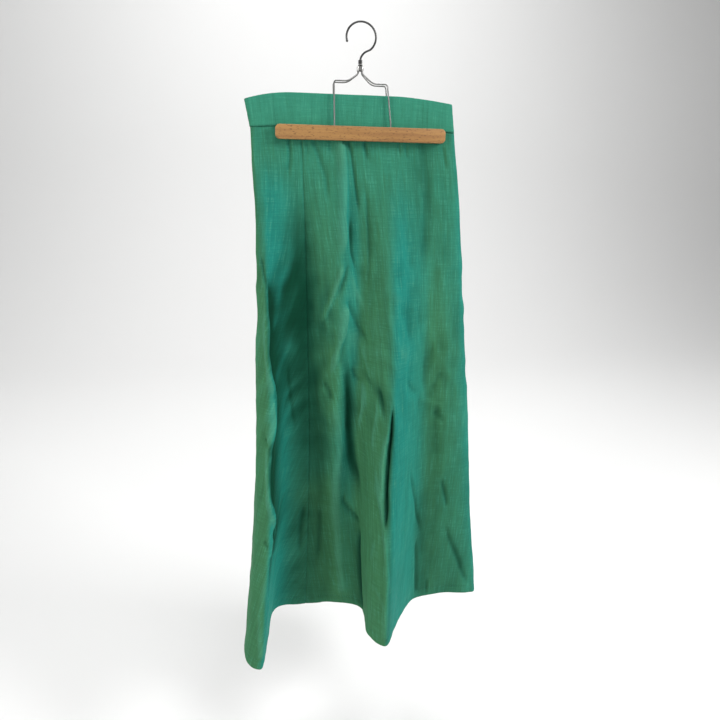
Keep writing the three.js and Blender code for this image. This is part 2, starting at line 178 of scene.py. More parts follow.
class Wire:
    """A shader value that takes part in plain arithmetic, adding Math nodes as it goes."""

    def __init__(self, tree: bpy.types.NodeTree, socket: bpy.types.NodeSocket) -> None:
        """Wraps one output socket of a node tree."""
        self.tree = tree
        self.socket = socket

    def maths(self, operation: str, *values: Any) -> "Wire":
        """Adds one Math node.

        Args:
            operation: the Math node's operation.
            values: its inputs, wires or numbers, in order.

        Returns:
            The node's result.
        """
        node = self.tree.nodes.new("ShaderNodeMath")
        node.operation = operation
        for socket, value in zip(node.inputs, values):
            feed(self.tree, socket, value)
        return Wire(self.tree, node.outputs[0])

    def scaled(self, factor: Any) -> "Wire":
        """Multiplies a colour by a number, through Vector Math.

        Args:
            factor: a wire or a number.

        Returns:
            The scaled colour.
        """
        node = self.tree.nodes.new("ShaderNodeVectorMath")
        node.operation = "SCALE"
        feed(self.tree, node.inputs[0], self)
        feed(self.tree, node.inputs["Scale"], factor)
        return Wire(self.tree, node.outputs[0])

    def __add__(self, other: Any) -> "Wire":
        """Sum."""
        return self.maths("ADD", self, other)

    def __radd__(self, other: Any) -> "Wire":
        """Sum, reflected."""
        return self.maths("ADD", other, self)

    def __sub__(self, other: Any) -> "Wire":
        """Difference."""
        return self.maths("SUBTRACT", self, other)

    def __rsub__(self, other: Any) -> "Wire":
        """Difference, reflected."""
        return self.maths("SUBTRACT", other, self)

    def __mul__(self, other: Any) -> "Wire":
        """Product."""
        return self.maths("MULTIPLY", self, other)

    def __rmul__(self, other: Any) -> "Wire":
        """Product, reflected."""
        return self.maths("MULTIPLY", other, self)

    def sine(self) -> "Wire":
        """Its sine."""
        return self.maths("SINE", self)

    def step(self, low: float, high: float) -> "Wire":
        """A soft step from 0 at low to 1 at high.

        Args:
            low: value where the step starts.
            high: value where it ends.

        Returns:
            The step's result.
        """
        node = self.tree.nodes.new("ShaderNodeMapRange")
        node.interpolation_type = "SMOOTHSTEP"
        feed(self.tree, node.inputs["Value"], self)
        node.inputs["From Min"].default_value = low
        node.inputs["From Max"].default_value = high
        return Wire(self.tree, node.outputs[0])


class Dyer:
    """Makes one material and the nodes in it."""

    def __init__(self, name: str) -> None:
        """Starts a material of that name with its shader."""
        self.material = bpy.data.materials.new(name)
        self.material.use_nodes = True
        self.tree = self.material.node_tree
        self.tree.nodes.clear()
        self.shader = self.tree.nodes.new("ShaderNodeBsdfPrincipled")
        out = self.tree.nodes.new("ShaderNodeOutputMaterial")
        self.tree.links.new(self.shader.outputs[0], out.inputs[0])

    def node(self, kind: str, settings: Optional[dict[str, Any]] = None,
             inputs: Optional[dict[Any, Any]] = None, output: Any = 0) -> Wire:
        """Adds any node.

        Args:
            kind: the node's type without its ShaderNode prefix.
            settings: properties of the node.
            inputs: values or wires for its sockets, by name or number.
            output: the socket that is returned.

        Returns:
            The chosen output.
        """
        node = self.tree.nodes.new("ShaderNode" + kind)
        for key, value in (settings or {}).items():
            setattr(node, key, value)
        for key, value in (inputs or {}).items():
            feed(self.tree, node.inputs[key], value)
        return Wire(self.tree, node.outputs[output])

    def mix(self, share: Any, first: Any, second: Any) -> Wire:
        """Mixes two colours.

        Args:
            share: how much of the second, a wire or a number.
            first: colour or wire.
            second: colour or wire.

        Returns:
            The mixed colour.
        """
        return self.node("Mix", {"data_type": "RGBA"}, {0: share, 6: first, 7: second}, 2)

    def parts(self, vector: Wire) -> tuple[Wire, Wire, Wire]:
        """A vector's three numbers."""
        split = self.node("SeparateXYZ", inputs={0: vector})
        outs = split.socket.node.outputs
        return tuple(Wire(self.tree, outs[i]) for i in range(3))

    def joined(self, x: Any, y: Any, z: Any = 0.0) -> Wire:
        """A vector from three numbers."""
        return self.node("CombineXYZ", inputs={0: x, 1: y, 2: z})

    def cloth_map(self) -> tuple[Wire, Wire]:
        """The piece's own map in metres, across and along the cloth."""
        across, along, _ = self.parts(self.node("UVMap", {"uv_map": "cloth"}))
        return across, along

    def solid_map(self) -> Wire:
        """Object coordinates, in metres."""
        return self.node("TexCoord", output="Object")

    def cloud(self, vector: Wire, scale: float = 1.0, detail: float = 2.0,
              rough: float = 0.5) -> Wire:
        """Noise from 0 to 1.

        Args:
            vector: where it is read.
            scale: the noise's scale.
            detail: its octaves.
            rough: how strong the small ones are.

        Returns:
            The noise value.
        """
        return self.node("TexNoise", None, {"Vector": vector, "Scale": scale,
                                            "Detail": detail, "Roughness": rough})

    def finish(self, colour: Any, roughness: Any, height: Optional[Wire] = None,
               depth: float = 0.0002, strength: float = 0.5,
               **sockets: Any) -> bpy.types.Material:
        """Connects the shader.

        Args:
            colour: base colour, a wire or three numbers.
            roughness: a wire or a number.
            height: bump height, from 0 to 1.
            depth: what a height of 1 is, in metres.
            strength: the bump's strength.
            sockets: shader inputs that are the same all over, with _ for a space.

        Returns:
            The finished material.
        """
        feed(self.tree, self.shader.inputs["Base Color"], colour)
        feed(self.tree, self.shader.inputs["Roughness"], roughness)
        if height is not None:
            bump = self.node("Bump", None, {"Strength": strength, "Distance": depth,
                                            "Height": height})
            feed(self.tree, self.shader.inputs["Normal"], bump)
        for key, value in sockets.items():
            self.shader.inputs[key.replace("_", " ")].default_value = value
        return self.material


# ---- finishes ---------------------------------------------------------------------------------


@dataclass(frozen=True)
class LinenFinish:
    """Plain-weave linen in two dyes, with painted light: each flank of a fold takes the cool or
    the warm dye by which way it faces, as the light from the right and the left would tint it, so
    one flank is cooler than the other; creases and recesses carry painted shade and ridges a
    painted highlight.
    """

    name: str
    cool: Colour = (0.014, 0.222, 0.176)
    warm: Colour = (0.050, 0.196, 0.086)
    # The deep colour is painted shade for creases and recesses; the pale one below serves the real
    # slubs and also a painted highlight on ridges.
    deep: Colour = (0.001, 0.046, 0.023)
    pale_slub_and_highlight: Colour = (0.075, 0.300, 0.190)
    thread: float = 0.00095
    slub: float = 0.34
    sheen: float = 0.02

    def material(self) -> bpy.types.Material:
        """The cloth's material, on its own map and on two painted attributes: the side tint for
        painted light, and the painted shade and highlight.

        Returns:
            The material.
        """
        dye = Dyer(self.name)
        across, along = dye.cloth_map()
        painted_side_tint = dye.node("Attribute", {"attribute_name": "painted_side_tint"}, output="Fac")
        painted_shade_and_highlight = dye.node("Attribute", {"attribute_name": "painted_shade_and_highlight"}, output="Fac")
        turn = 2.0 * math.pi / self.thread
        wander = dye.cloud(dye.joined(across * 9.0, along * 9.0), 1.0, 3.0)
        warp = (across * turn + wander * 3.0).sine()
        weft = (along * (turn * 0.92) + wander * 3.0).sine()
        weft_slub = dye.cloud(dye.joined(across * 30.0, along * 480.0), 1.0, 3.0, 0.65)
        warp_slub = dye.cloud(dye.joined(across * 420.0, along * 22.0), 1.0, 3.0, 0.65)
        long_slub = dye.cloud(dye.joined(across * 130.0, along * 7.0), 1.0, 2.0, 0.6)
        bar_slub = dye.cloud(dye.joined(across * 6.0, along * 170.0), 1.0, 2.0, 0.6)
        cloudy = dye.cloud(dye.joined(across * 22.0, along * 14.0), 1.0, 3.0, 0.55)
        fleck = dye.cloud(dye.joined(across * 330.0, along * 330.0), 1.0, 1.0)
        # Painted light: the side tint picks the cool or the warm dye by which way the cloth faces,
        # with the slubs' random tone on top.
        side = (painted_side_tint + (cloudy - 0.5) * 0.14 + (warp_slub - 0.5) * 0.5).step(-0.1, 1.1)
        body = dye.mix(side, self.warm, self.cool)
        body = dye.mix((weft_slub * 0.7 + warp_slub * 1.3).step(1.02, 1.34) * 0.5, body, self.pale_slub_and_highlight)
        # Painted highlight: ridges lightened toward the pale colour.
        body = dye.mix((painted_shade_and_highlight * -1.0).step(0.05, 0.55) * 0.5, body, self.pale_slub_and_highlight)
        # Painted shade: creases and recesses darkened toward the deep colour.
        body = dye.mix(painted_shade_and_highlight.step(-0.12, 1.06), body, self.deep)
        shade = (1.0 + (weft_slub - 0.5) * self.slub + (warp_slub - 0.5) * self.slub
                 + (long_slub - 0.5) * 0.42 + (bar_slub - 0.5) * 0.14
                 + (cloudy - 0.5) * 0.18 + (fleck - 0.5) * 0.16 + warp * weft * 0.04)
        height = (warp * weft * 0.2 + (weft_slub - 0.5) * 0.8 + (warp_slub - 0.5) * 0.8
                  + (long_slub - 0.5) * 0.8 + 0.5)
        rough = 0.80 + (fleck - 0.5) * 0.16
        return dye.finish(body.scaled(shade), rough, height, 0.00035, 0.5,
                          Sheen_Weight=self.sheen, Sheen_Roughness=0.45,
                          Sheen_Tint=(0.55, 0.95, 0.75, 1.0), Specular_IOR_Level=0.1,
                          Diffuse_Roughness=0.35)


@dataclass(frozen=True)
class ThreadFinish:
    """Twisted sewing thread or woven tape in one dye."""

    name: str
    colour: Colour = (0.030, 0.215, 0.140)
    pitch: float = 0.0006
    roughness: float = 0.7

    def material(self) -> bpy.types.Material:
        """The thread's material, on object coordinates.

        Returns:
            The material.
        """
        dye = Dyer(self.name)
        x, y, z = dye.parts(dye.solid_map())
        twist = ((x + y + z) * (2.0 * math.pi / self.pitch)).sine()
        fuzz = dye.cloud(dye.solid_map(), 900.0, 2.0)
        body = dye.mix(fuzz, tuple(0.8 * c for c in self.colour),
                       tuple(min(1.0, 1.25 * c) for c in self.colour))
        return dye.finish(body.scaled(1.0 + twist * 0.10), self.roughness + fuzz * 0.1,
                          twist * 0.5 + 0.5, 0.00012, 0.5, Sheen_Weight=0.1)


@dataclass(frozen=True)
class WoodFinish:
    """Clear-lacquered beech with straight grain along the bar."""

    name: str
    light: Colour = (0.375, 0.196, 0.060)
    dark: Colour = (0.270, 0.130, 0.042)
    pore: Colour = (0.085, 0.036, 0.014)

    def material(self) -> bpy.types.Material:
        """The wood's material, on object coordinates.

        Returns:
            The material.
        """
        dye = Dyer(self.name)
        x, y, z = dye.parts(dye.solid_map())
        drift = dye.cloud(dye.joined(x * 7.0, y * 14.0, z * 14.0), 1.0, 3.0, 0.55)
        bands = dye.cloud(dye.joined(x * 5.0, y * 130.0, (z + drift * 0.012) * 130.0),
                          1.0, 3.0, 0.6)
        fibre = dye.cloud(dye.joined(x * 40.0, y * 1500.0, z * 1500.0), 1.0, 2.0, 0.6)
        flecks = dye.cloud(dye.joined(x * 160.0, y * 520.0, z * 520.0), 1.0, 2.0)
        body = dye.mix(bands.step(0.30, 0.72), self.light, self.dark)
        body = dye.mix(flecks.step(0.55, 0.72) * 0.8, body, self.pore)
        shade = 0.86 + fibre * 0.26 + drift * 0.10
        rough = 0.40 + fibre * 0.16
        return dye.finish(body.scaled(shade), rough, fibre * 0.7 + flecks * 0.3,
                          0.00016, 0.25, Coat_Weight=0.10, Coat_Roughness=0.35)


@dataclass(frozen=True)
class SteelFinish:
    """Drawn or plated steel, with fine marks and slightly dulled patches."""

    name: str
    colour: Colour = (0.33, 0.33, 0.315)
    tarnish: Colour = (0.16, 0.155, 0.145)
    roughness: float = 0.30
    marks: float = 0.12

    def material(self) -> bpy.types.Material:
        """The metal's material, on object coordinates.

        Returns:
            The material.
        """
        dye = Dyer(self.name)
        place = dye.solid_map()
        dull = dye.cloud(place, 90.0, 3.0, 0.6)
        x, y, z = dye.parts(place)
        drawn = dye.cloud(dye.joined(x * 2600.0, y * 2600.0, z * 240.0), 1.0, 2.0)
        body = dye.mix(dull.step(0.5, 0.8) * 0.5, self.colour, self.tarnish)
        rough = self.roughness + dull * self.marks + drawn * self.marks * 0.5
        return dye.finish(body, rough, drawn, 0.00003, 0.25, Metallic=1.0)


@dataclass(frozen=True)
class PaleFinish:
    """The studio's plain matt floor."""

    name: str
    colour: Colour = (0.84, 0.84, 0.835)

    def material(self) -> bpy.types.Material:
        """A matt pale material with the faintest mottling.

        Returns:
            The material.
        """
        dye = Dyer(self.name)
        patch = dye.cloud(dye.solid_map(), 2.0, 2.0)
        return dye.finish(dye.mix(patch, self.colour, tuple(c * 0.99 for c in self.colour)),
                          0.9)


# ---- the cloth's form -------------------------------------------------------------------------


class FoldForm:
    """The skirt's outer face: closed sections through the fold lines, one for each height."""

    X_LEVELS = (-BAND_HEIGHT, -300.0, -660.0, -SKIRT_LENGTH)
    Y_LEVELS = (-BAND_HEIGHT, -84.0, -300.0, -660.0, -SKIRT_LENGTH)

    def __init__(self) -> None:
        """Reads the key lines once."""
        rows = np.array([line.value for line in FoldLine], float)
        self.count = len(rows)
        self.x = rows[:, 0:4]
        self.y = np.concatenate([rows[:, 4:5], rows[:, 4:8]], axis=1)

    @staticmethod
    def through(levels: Sequence[float], values: np.ndarray, z: float) -> np.ndarray:
        """Smooth curves through values at falling levels, which never swing past them.

        Args:
            levels: falling heights.
            values: one row for each curve.
            z: the height wanted.

        Returns:
            Each curve's value there.
        """
        slope = np.diff(values, axis=1) / np.diff(np.array(levels))
        tangent = np.empty_like(values)
        tangent[:, 0] = slope[:, 0]
        tangent[:, -1] = slope[:, -1]
        a, b = slope[:, :-1], slope[:, 1:]
        level = a * b <= 0
        tangent[:, 1:-1] = np.where(level, 0.0, 2 * a * b / np.where(level, 1.0, a + b))
        k = 0
        while k < len(levels) - 2 and z < levels[k + 1]:
            k += 1
        span = levels[k + 1] - levels[k]
        t = (z - levels[k]) / span
        return ((1 + 2 * t) * (1 - t) ** 2 * values[:, k]
                + t * (1 - t) ** 2 * span * tangent[:, k]
                + t * t * (3 - 2 * t) * values[:, k + 1]
                + t * t * (t - 1) * span * tangent[:, k + 1])

    def section(self, z: float, places: np.ndarray) -> np.ndarray:
        """Points of the closed section at height z.

        Args:
            z: height under the waistband's top.
            places: places round the tube, counted in fold lines.

        Returns:
            x and y of each.
        """
        keys = np.stack([self.through(self.X_LEVELS, self.x, z),
                         self.through(self.Y_LEVELS, self.y, z)], axis=1)
        p = np.mod(places, self.count)
        i = np.floor(p).astype(int) % self.count
        w = (p - np.floor(p))[:, None]
        a, b, c, d = (keys[(i + k) % self.count] for k in (-1, 0, 1, 2))

        def gap(q: np.ndarray, r: np.ndarray) -> np.ndarray:
            """Centripetal spacing of two keys."""
            return np.maximum(((q - r) ** 2).sum(axis=1) ** 0.25, 1e-4)[:, None]

        d0, d1, d2 = gap(a, b), gap(b, c), gap(c, d)
        t1 = ((b - a) / d0 - (c - a) / (d0 + d1) + (c - b) / d1) * d1
        t2 = ((c - b) / d1 - (d - b) / (d1 + d2) + (d - c) / d2) * d1
        return (b + t1 * w + (-3 * b + 3 * c - 2 * t1 - t2) * w * w
                + (2 * b - 2 * c + t1 + t2) * w**3)


@dataclass(frozen=True)
class Crease:
    """One soft ridge or trough laid on the cloth.

    Height is in mm, above 0 for a ridge. The widths are how far it falls away before and
    after its line. Points are (place round the tube, height under the waistband's top).
    Taper is the share of its length over which each end fades, except an end that starts
    under the band or runs to the hem.
    """

    name: str
    height: float
    before: float
    after: float
    points: tuple[tuple[float, float], ...]
    taper: float = 0.24

    def lift(self, run: np.ndarray, z: float, ruler: tuple[np.ndarray, np.ndarray],
             turns: int) -> np.ndarray:
        """How far this crease lifts one row of the cloth.

        Args:
            run: arc lengths of the row's points, in mm.
            z: the row's height.
            ruler: places round the tube and their arc lengths, well past both edges.
            turns: fold lines in the whole tube.

        Returns:
            The lift of each point, in mm.
        """
        line = np.array(self.points)
        reach = 3.0 * max(self.before, self.after)
        out = np.zeros(len(run))
        if z > line[:, 1].max() + reach or z < line[:, 1].min() - reach:
            return out
        places, lengths = ruler
        middle = line[:, 0].mean() - (places[0] + places[-1]) / 2
        at = line[:, 0] - turns * round(middle / turns)
        if at.max() < places[0] or at.min() > places[-1]:
            return out
        path = np.stack([np.interp(at, places, lengths), line[:, 1]], axis=1)
        near = (run > path[:, 0].min() - reach) & (run < path[:, 0].max() + reach)
        if not near.any():
            return out
        spot = np.stack([run[near], np.full(near.sum(), z)], axis=1)[:, None, :]
        start, step = path[None, :-1], np.diff(path, axis=0)[None]
        long = np.maximum((step**2).sum(axis=2), 1e-9)
        t = np.clip(((spot - start) * step).sum(axis=2) / long, 0.0, 1.0)
        off = spot - (start + t[:, :, None] * step)
        away = np.sqrt((off**2).sum(axis=2))
        best = away.argmin(axis=1)
        rows = np.arange(len(best))
        cross = step[0, best, 0] * off[rows, best, 1] - step[0, best, 1] * off[rows, best, 0]
        width = np.where(cross > 0, self.after, self.before)
        parts = np.sqrt(long[0])
        along = np.concatenate([[0.0], np.cumsum(parts)])
        share = (along[best] + t[rows, best] * parts[best]) / along[-1]
        first = 1.0 if self.points[0][1] > UNDER_BAND else smooth(0.0, self.taper, share)
        last = 1.0 if self.points[-1][1] < AT_HEM else smooth(0.0, self.taper, 1.0 - share)
        out[near] = self.height * np.exp(-((away[rows, best] / width) ** 2)) * first * last
        return out


def laid(rows: Sequence[tuple[Any, ...]]) -> tuple[Crease, ...]:
    """Reads a table of creases.

    Args:
        rows: name, height, widths before and after, taper, then the points' numbers in turn.

    Returns:
        The creases.
    """
    return tuple(Crease(*row[:4], tuple(zip(row[5::2], row[6::2])), row[4]) for row in rows)


FRONT_CREASES = laid((
    ("gather_1", -1.9, 3.6, 3.6, 0.24, 4.54, -81, 4.51, -101, 4.48, -117, 4.31, -141),
    ("gather_2", -0.9, 2.7, 2.7, 0.24, 5.15, -81, 5.15, -109),
    ("gather_3", -1.5, 3.6, 4.3, 0.24, 5.31, -81, 5.38, -101, 5.48, -125, 5.58, -145, 5.61, -193),
    ("gather_4", -1.1, 3.2, 3.2, 0.24, 5.68, -81, 5.71, -105),
    ("gather_5", -2.3, 3.2, 3.9, 0.24, 6.62, -81, 6.78, -101, 6.85, -129, 6.92, -161, 6.98, -189,
     6.98, -217),
    ("gather_6", -2.0, 4.3, 4.3, 0.24, 7.89, -81, 7.89, -97, 7.95, -117),
    ("gather_7", -1.4, 3.6, 3.9, 0.24, 7.55, -137, 7.65, -189, 7.62, -229, 7.65, -302, 7.62, -358),
    ("gather_8", -1.2, 2.7, 2.7, 0.24, 9.69, -81, 9.69, -105),
    ("gather_9", -1.0, 2.7, 2.7, 0.24, 10.12, -81, 10.09, -109),
    ("gather_10", -1.3, 8.0, 8.9, 0.24, 11.06, -81, 11.16, -113, 11.19, -149, 11.09, -185,
     10.93, -221, 10.89, -265, 10.83, -310),
    ("gather_11", -1.3, 3.6, 3.6, 0.24, 12.26, -85, 12.4, -129),
    ("upper_ridge", 4.5, 10.7, 5.3, 0.24, 6.08, -89, 6.15, -149, 6.05, -213, 6.08, -257,
     6.01, -294),
    ("upper_crease", -2.5, 3.2, 3.6, 0.24, 6.42, -213, 6.45, -249, 6.48, -277, 6.68, -302,
     6.88, -318),
    ("slant_edge", 4.0, 6.2, 2.8, 0.24, 6.08, -290, 5.98, -314, 5.85, -338, 5.71, -366, 5.55, -394,
     5.35, -414),
    ("slant_shade", -2.0, 2.8, 5.3, 0.24, 6.32, -298, 6.11, -322, 5.98, -338, 5.88, -362),
    ("small_slant", 1.6, 5.3, 5.3, 0.24, 6.45, -314, 6.65, -346, 7.15, -370, 7.65, -398),
    ("second_ridge", 4.5, 8.9, 4.6, 0.24, 6.08, -362, 6.25, -386, 6.15, -418, 6.01, -446,
     5.91, -474, 5.78, -498, 5.58, -518),
    ("second_point", -2.0, 5.3, 3.6, 0.24, 5.48, -518, 5.71, -538, 5.85, -558),
    ("broad_ridge", 2.8, 12.5, 10.7, 0.24, 5.91, -518, 5.95, -558, 6.11, -598, 6.21, -650,
     6.08, -706, 5.98, -771, 6.05, -855, 6.18, -939),
    ("middle_shade", -2.5, 4.5, 5.3, 0.24, 6.15, -358, 6.38, -378, 6.78, -410, 7.28, -434,
     7.72, -458),
    ("deep_trough", -3.2, 9.5, 7.0, 0.24, 6.32, -470, 6.42, -502, 6.52, -534, 6.62, -570,
     6.65, -610, 6.75, -646, 6.82, -682, 7.08, -714, 7.12, -747, 7.05, -767),
    ("notch", -2.8, 4.6, 4.3, 0.24, 6.35, -742, 6.38, -763, 6.62, -779, 6.98, -795, 7.22, -807),
    ("fold_foot", -3.5, 5.3, 3.6, 0.24, 7.22, -799, 7.08, -851, 7.05, -899, 7.12, -967),
    ("crumple_a", 2.0, 3.6, 3.6, 0.24, 7.28, -454, 7.52, -478, 7.75, -498, 7.95, -518),
    ("crumple_b", 3.8, 5.3, 6.1, 0.24, 7.38, -518, 7.52, -542, 7.48, -566, 7.32, -590, 7.18, -618),
    ("crumple_c", -2.2, 2.8, 4.3, 0.24, 6.65, -490, 6.88, -514, 7.32, -530),
    ("crumple_d", -1.7, 3.6, 3.2, 0.24, 8.25, -518, 8.39, -538, 8.49, -558, 8.62, -586),
    ("crumple_e", 2.2, 5.3, 5.3, 0.24, 8.15, -538, 8.29, -566, 8.15, -606, 8.12, -646),
    ("crest_edge", 2.8, 4.5, 3.2, 0.24, 8.12, -646, 8.22, -666, 8.42, -698, 8.55, -730, 8.69, -759,
     8.79, -799, 8.95, -859, 8.92, -911, 8.92, -959),
    ("slit", -11.0, 2.5, 2.8, 0.24, 8.95, -546, 8.95, -574, 8.89, -602, 8.79, -630, 8.75, -662,
     8.72, -698, 8.75, -734, 8.72, -767, 8.75, -787),
    ("slit_lip", 3.0, 6.2, 2.7, 0.24, 8.85, -586, 8.69, -622, 8.59, -658, 8.59, -698, 8.59, -738),
    ("face_crease_a", 1.6, 5.3, 5.3, 0.24, 8.35, -795, 8.22, -819, 8.15, -843),
    ("face_crease_b", 1.6, 4.3, 2.5, 0.24, 8.29, -867, 8.52, -883, 8.72, -899, 8.92, -915),
    ("right_crumple_a", -1.4, 3.6, 3.6, 0.24, 9.86, -510, 10.12, -526, 10.59, -550),
    ("right_crumple_b", 1.5, 5.3, 5.3, 0.24, 10.56, -550, 11.13, -566, 11.66, -574, 11.93, -590),
    ("right_crumple_c", -1.3, 4.5, 4.5, 0.24, 11.29, -546, 11.56, -522, 11.73, -506),
    ("right_crumple_d", -1.5, 3.6, 4.5, 0.24, 11.33, -590, 11.66, -598, 11.86, -610),
    ("right_trough", -1.1, 8.9, 8.9, 0.24, 11.56, -546, 11.63, -578, 11.46, -618, 11.53, -666,
     11.53, -706),
    ("right_line_a", -1.8, 3.6, 3.6, 0.24, 11.79, -722, 11.96, -747, 12.1, -771, 12.13, -791),
    ("right_line_b", -1.2, 2.8, 5.3, 0.24, 12.06, -811, 12.16, -839, 12.33, -863, 12.56, -891,
     12.73, -919, 12.93, -943),
    ("root_line", -2.2, 4.3, 3.2, 0.24, 10.19, -682, 10.42, -718, 10.59, -747, 10.79, -783,
     11.03, -815, 11.16, -843),
    ("root_foot", -2.0, 3.6, 4.3, 0.24, 10.89, -839, 11.03, -895, 11.16, -955),
    ("right_mark", -1.4, 2.7, 2.7, 0.24, 11.53, -939, 11.56, -967),
    ("left_line", -1.0, 3.2, 3.9, 0.24, 4.08, -482, 4.08, -514, 4.18, -550, 4.28, -578,
     4.41, -614),
    ("dark_line_a", -1.4, 4.5, 4.5, 0.24, 4.84, -759, 4.71, -811, 4.71, -871),
    ("dark_line_b", -1.4, 4.5, 4.5, 0.24, 5.41, -763, 5.41, -823, 5.35, -891),
    ("strip_crumple_a", -2.8, 2.7, 3.6, 0.24, 1.34, -590, 1.6, -598, 1.84, -610, 1.9, -626),
    ("strip_crumple_b", -2.4, 3.2, 3.6, 0.24, 1.5, -763, 1.77, -771, 1.87, -783),
    ("strip_notch", -3.0, 2.7, 3.6, 0.24, 1.24, -281, 1.57, -302, 1.84, -326, 1.97, -346),
    ("strip_edge", 4.6, 6.0, 2.2, 0.24, 1.47, -290, 1.97, -318, 2.04, -358, 2.0, -414, 1.94, -454,
     2.11, -494, 2.41, -526, 2.34, -566, 2.0, -602, 1.84, -646, 1.87, -694, 2.24, -730, 2.87, -775,
     2.24, -779, 2.04, -803),
    ("strip_fall", -3.6, 1.6, 7.0, 0.24, 1.9, -290, 2.25, -318, 2.32, -358, 2.28, -414, 2.22, -454,
     2.39, -494, 2.7, -526, 2.62, -566, 2.28, -602, 2.12, -646, 2.15, -694, 2.5, -730, 2.5, -790,
     2.3, -850, 2.4, -940),
    ("strip_fork", 2.0, 4.3, 4.3, 0.24, 1.87, -811, 1.77, -847, 1.6, -883, 1.7, -919, 1.84, -951),
))

BACK_CREASES = laid((
    ("rear_gather_1", -1.6, 4.0, 4.5, 0.24, 16.6, -80, 16.4, -130, 16.2, -190),
    ("rear_gather_2", -1.9, 3.6, 4.4, 0.24, 18.9, -80, 19.3, -118, 19.6, -176),
    ("rear_gather_3", -1.2, 3.4, 3.4, 0.24, 20.4, -80, 20.5, -112),
    ("rear_gather_4", -1.8, 4.0, 4.6, 0.24, 22.3, -80, 22.4, -124, 22.2, -205),
    ("rear_gather_5", -1.1, 3.2, 3.6, 0.24, 23.6, -80, 23.7, -108),
    ("rear_gather_6", -1.9, 4.2, 5.0, 0.24, 25.1, -80, 25.2, -140, 25.5, -232),
    ("rear_gather_7", -1.1, 3.2, 3.2, 0.24, 26.4, -80, 26.4, -121),
    ("rear_gather_8", -1.6, 3.8, 4.2, 0.24, 27.7, -80, 27.8, -128, 27.6, -186),
    ("rear_gather_9", -1.0, 3.0, 3.4, 0.24, 29.1, -80, 29.1, -110),
    ("rear_gather_10", -1.7, 4.0, 4.2, 0.24, 31.0, -80, 31.2, -133, 31.4, -198),
    ("rear_gather_11", -1.2, 3.4, 3.6, 0.24, 32.6, -80, 32.5, -117),
    ("rear_slant_a", 3.2, 7.0, 3.0, 0.24, 23.2, -262, 23.9, -309, 24.5, -361, 24.8, -398),
    ("rear_slant_b", 3.6, 3.4, 8.0, 0.24, 25.4, -330, 24.9, -372, 24.1, -431, 23.4, -470),
    ("rear_slant_c", 2.8, 6.4, 3.2, 0.24, 29.0, -298, 29.7, -352, 30.3, -401, 30.5, -452),
    ("rear_trough_a", -5.0, 6.0, 6.0, 0.24, 26.0, -420, 26.2, -530, 26.1, -640, 26.3, -752),
    ("rear_trough_b", -4.2, 5.4, 6.2, 0.24, 21.8, -505, 21.9, -610, 22.1, -740),
    ("rear_trough_c", -4.6, 5.6, 5.6, 0.24, 32.0, -388, 32.1, -500, 31.9, -618, 32.1, -700),
    ("rear_crumple_a", 2.4, 4.0, 4.6, 0.24, 17.2, -352, 17.9, -378, 18.5, -421),
    ("rear_crumple_b", -2.6, 3.4, 4.4, 0.24, 17.8, -398, 18.5, -430, 18.9, -472),
    ("rear_crumple_c", 2.8, 5.0, 3.6, 0.24, 27.1, -508, 27.9, -534, 28.4, -580),
    ("rear_crumple_d", -2.2, 3.2, 4.0, 0.24, 27.3, -552, 27.9, -583, 28.2, -629),
    ("rear_crumple_e", 2.2, 4.2, 5.0, 0.24, 18.2, -598, 17.7, -641, 17.3, -702),
    ("rear_line_a", -2.6, 3.2, 4.6, 0.24, 19.7, -700, 19.5, -781, 19.9, -860, 20.1, -925),
    ("rear_line_b", -2.4, 4.4, 3.4, 0.24, 28.2, -742, 28.0, -830, 28.3, -905),
    ("rear_line_c", 2.6, 4.8, 4.8, 0.24, 23.6, -640, 23.9, -742, 23.7, -871, 23.9, -968),
    ("rear_line_d", 2.4, 5.2, 4.4, 0.24, 30.6, -590, 30.4, -700, 30.7, -838, 30.5, -966),
    ("end_crease_a", -2.6, 4.0, 4.0, 0.24, 15.2, -128, 15.4, -214, 15.3, -318),
    ("end_crease_b", 2.8, 5.0, 4.0, 0.24, 15.7, -402, 15.3, -470, 15.1, -548),
    ("end_crease_c", -2.8, 4.4, 4.4, 0.24, 34.3, -236, 34.5, -330, 34.4, -470),
))
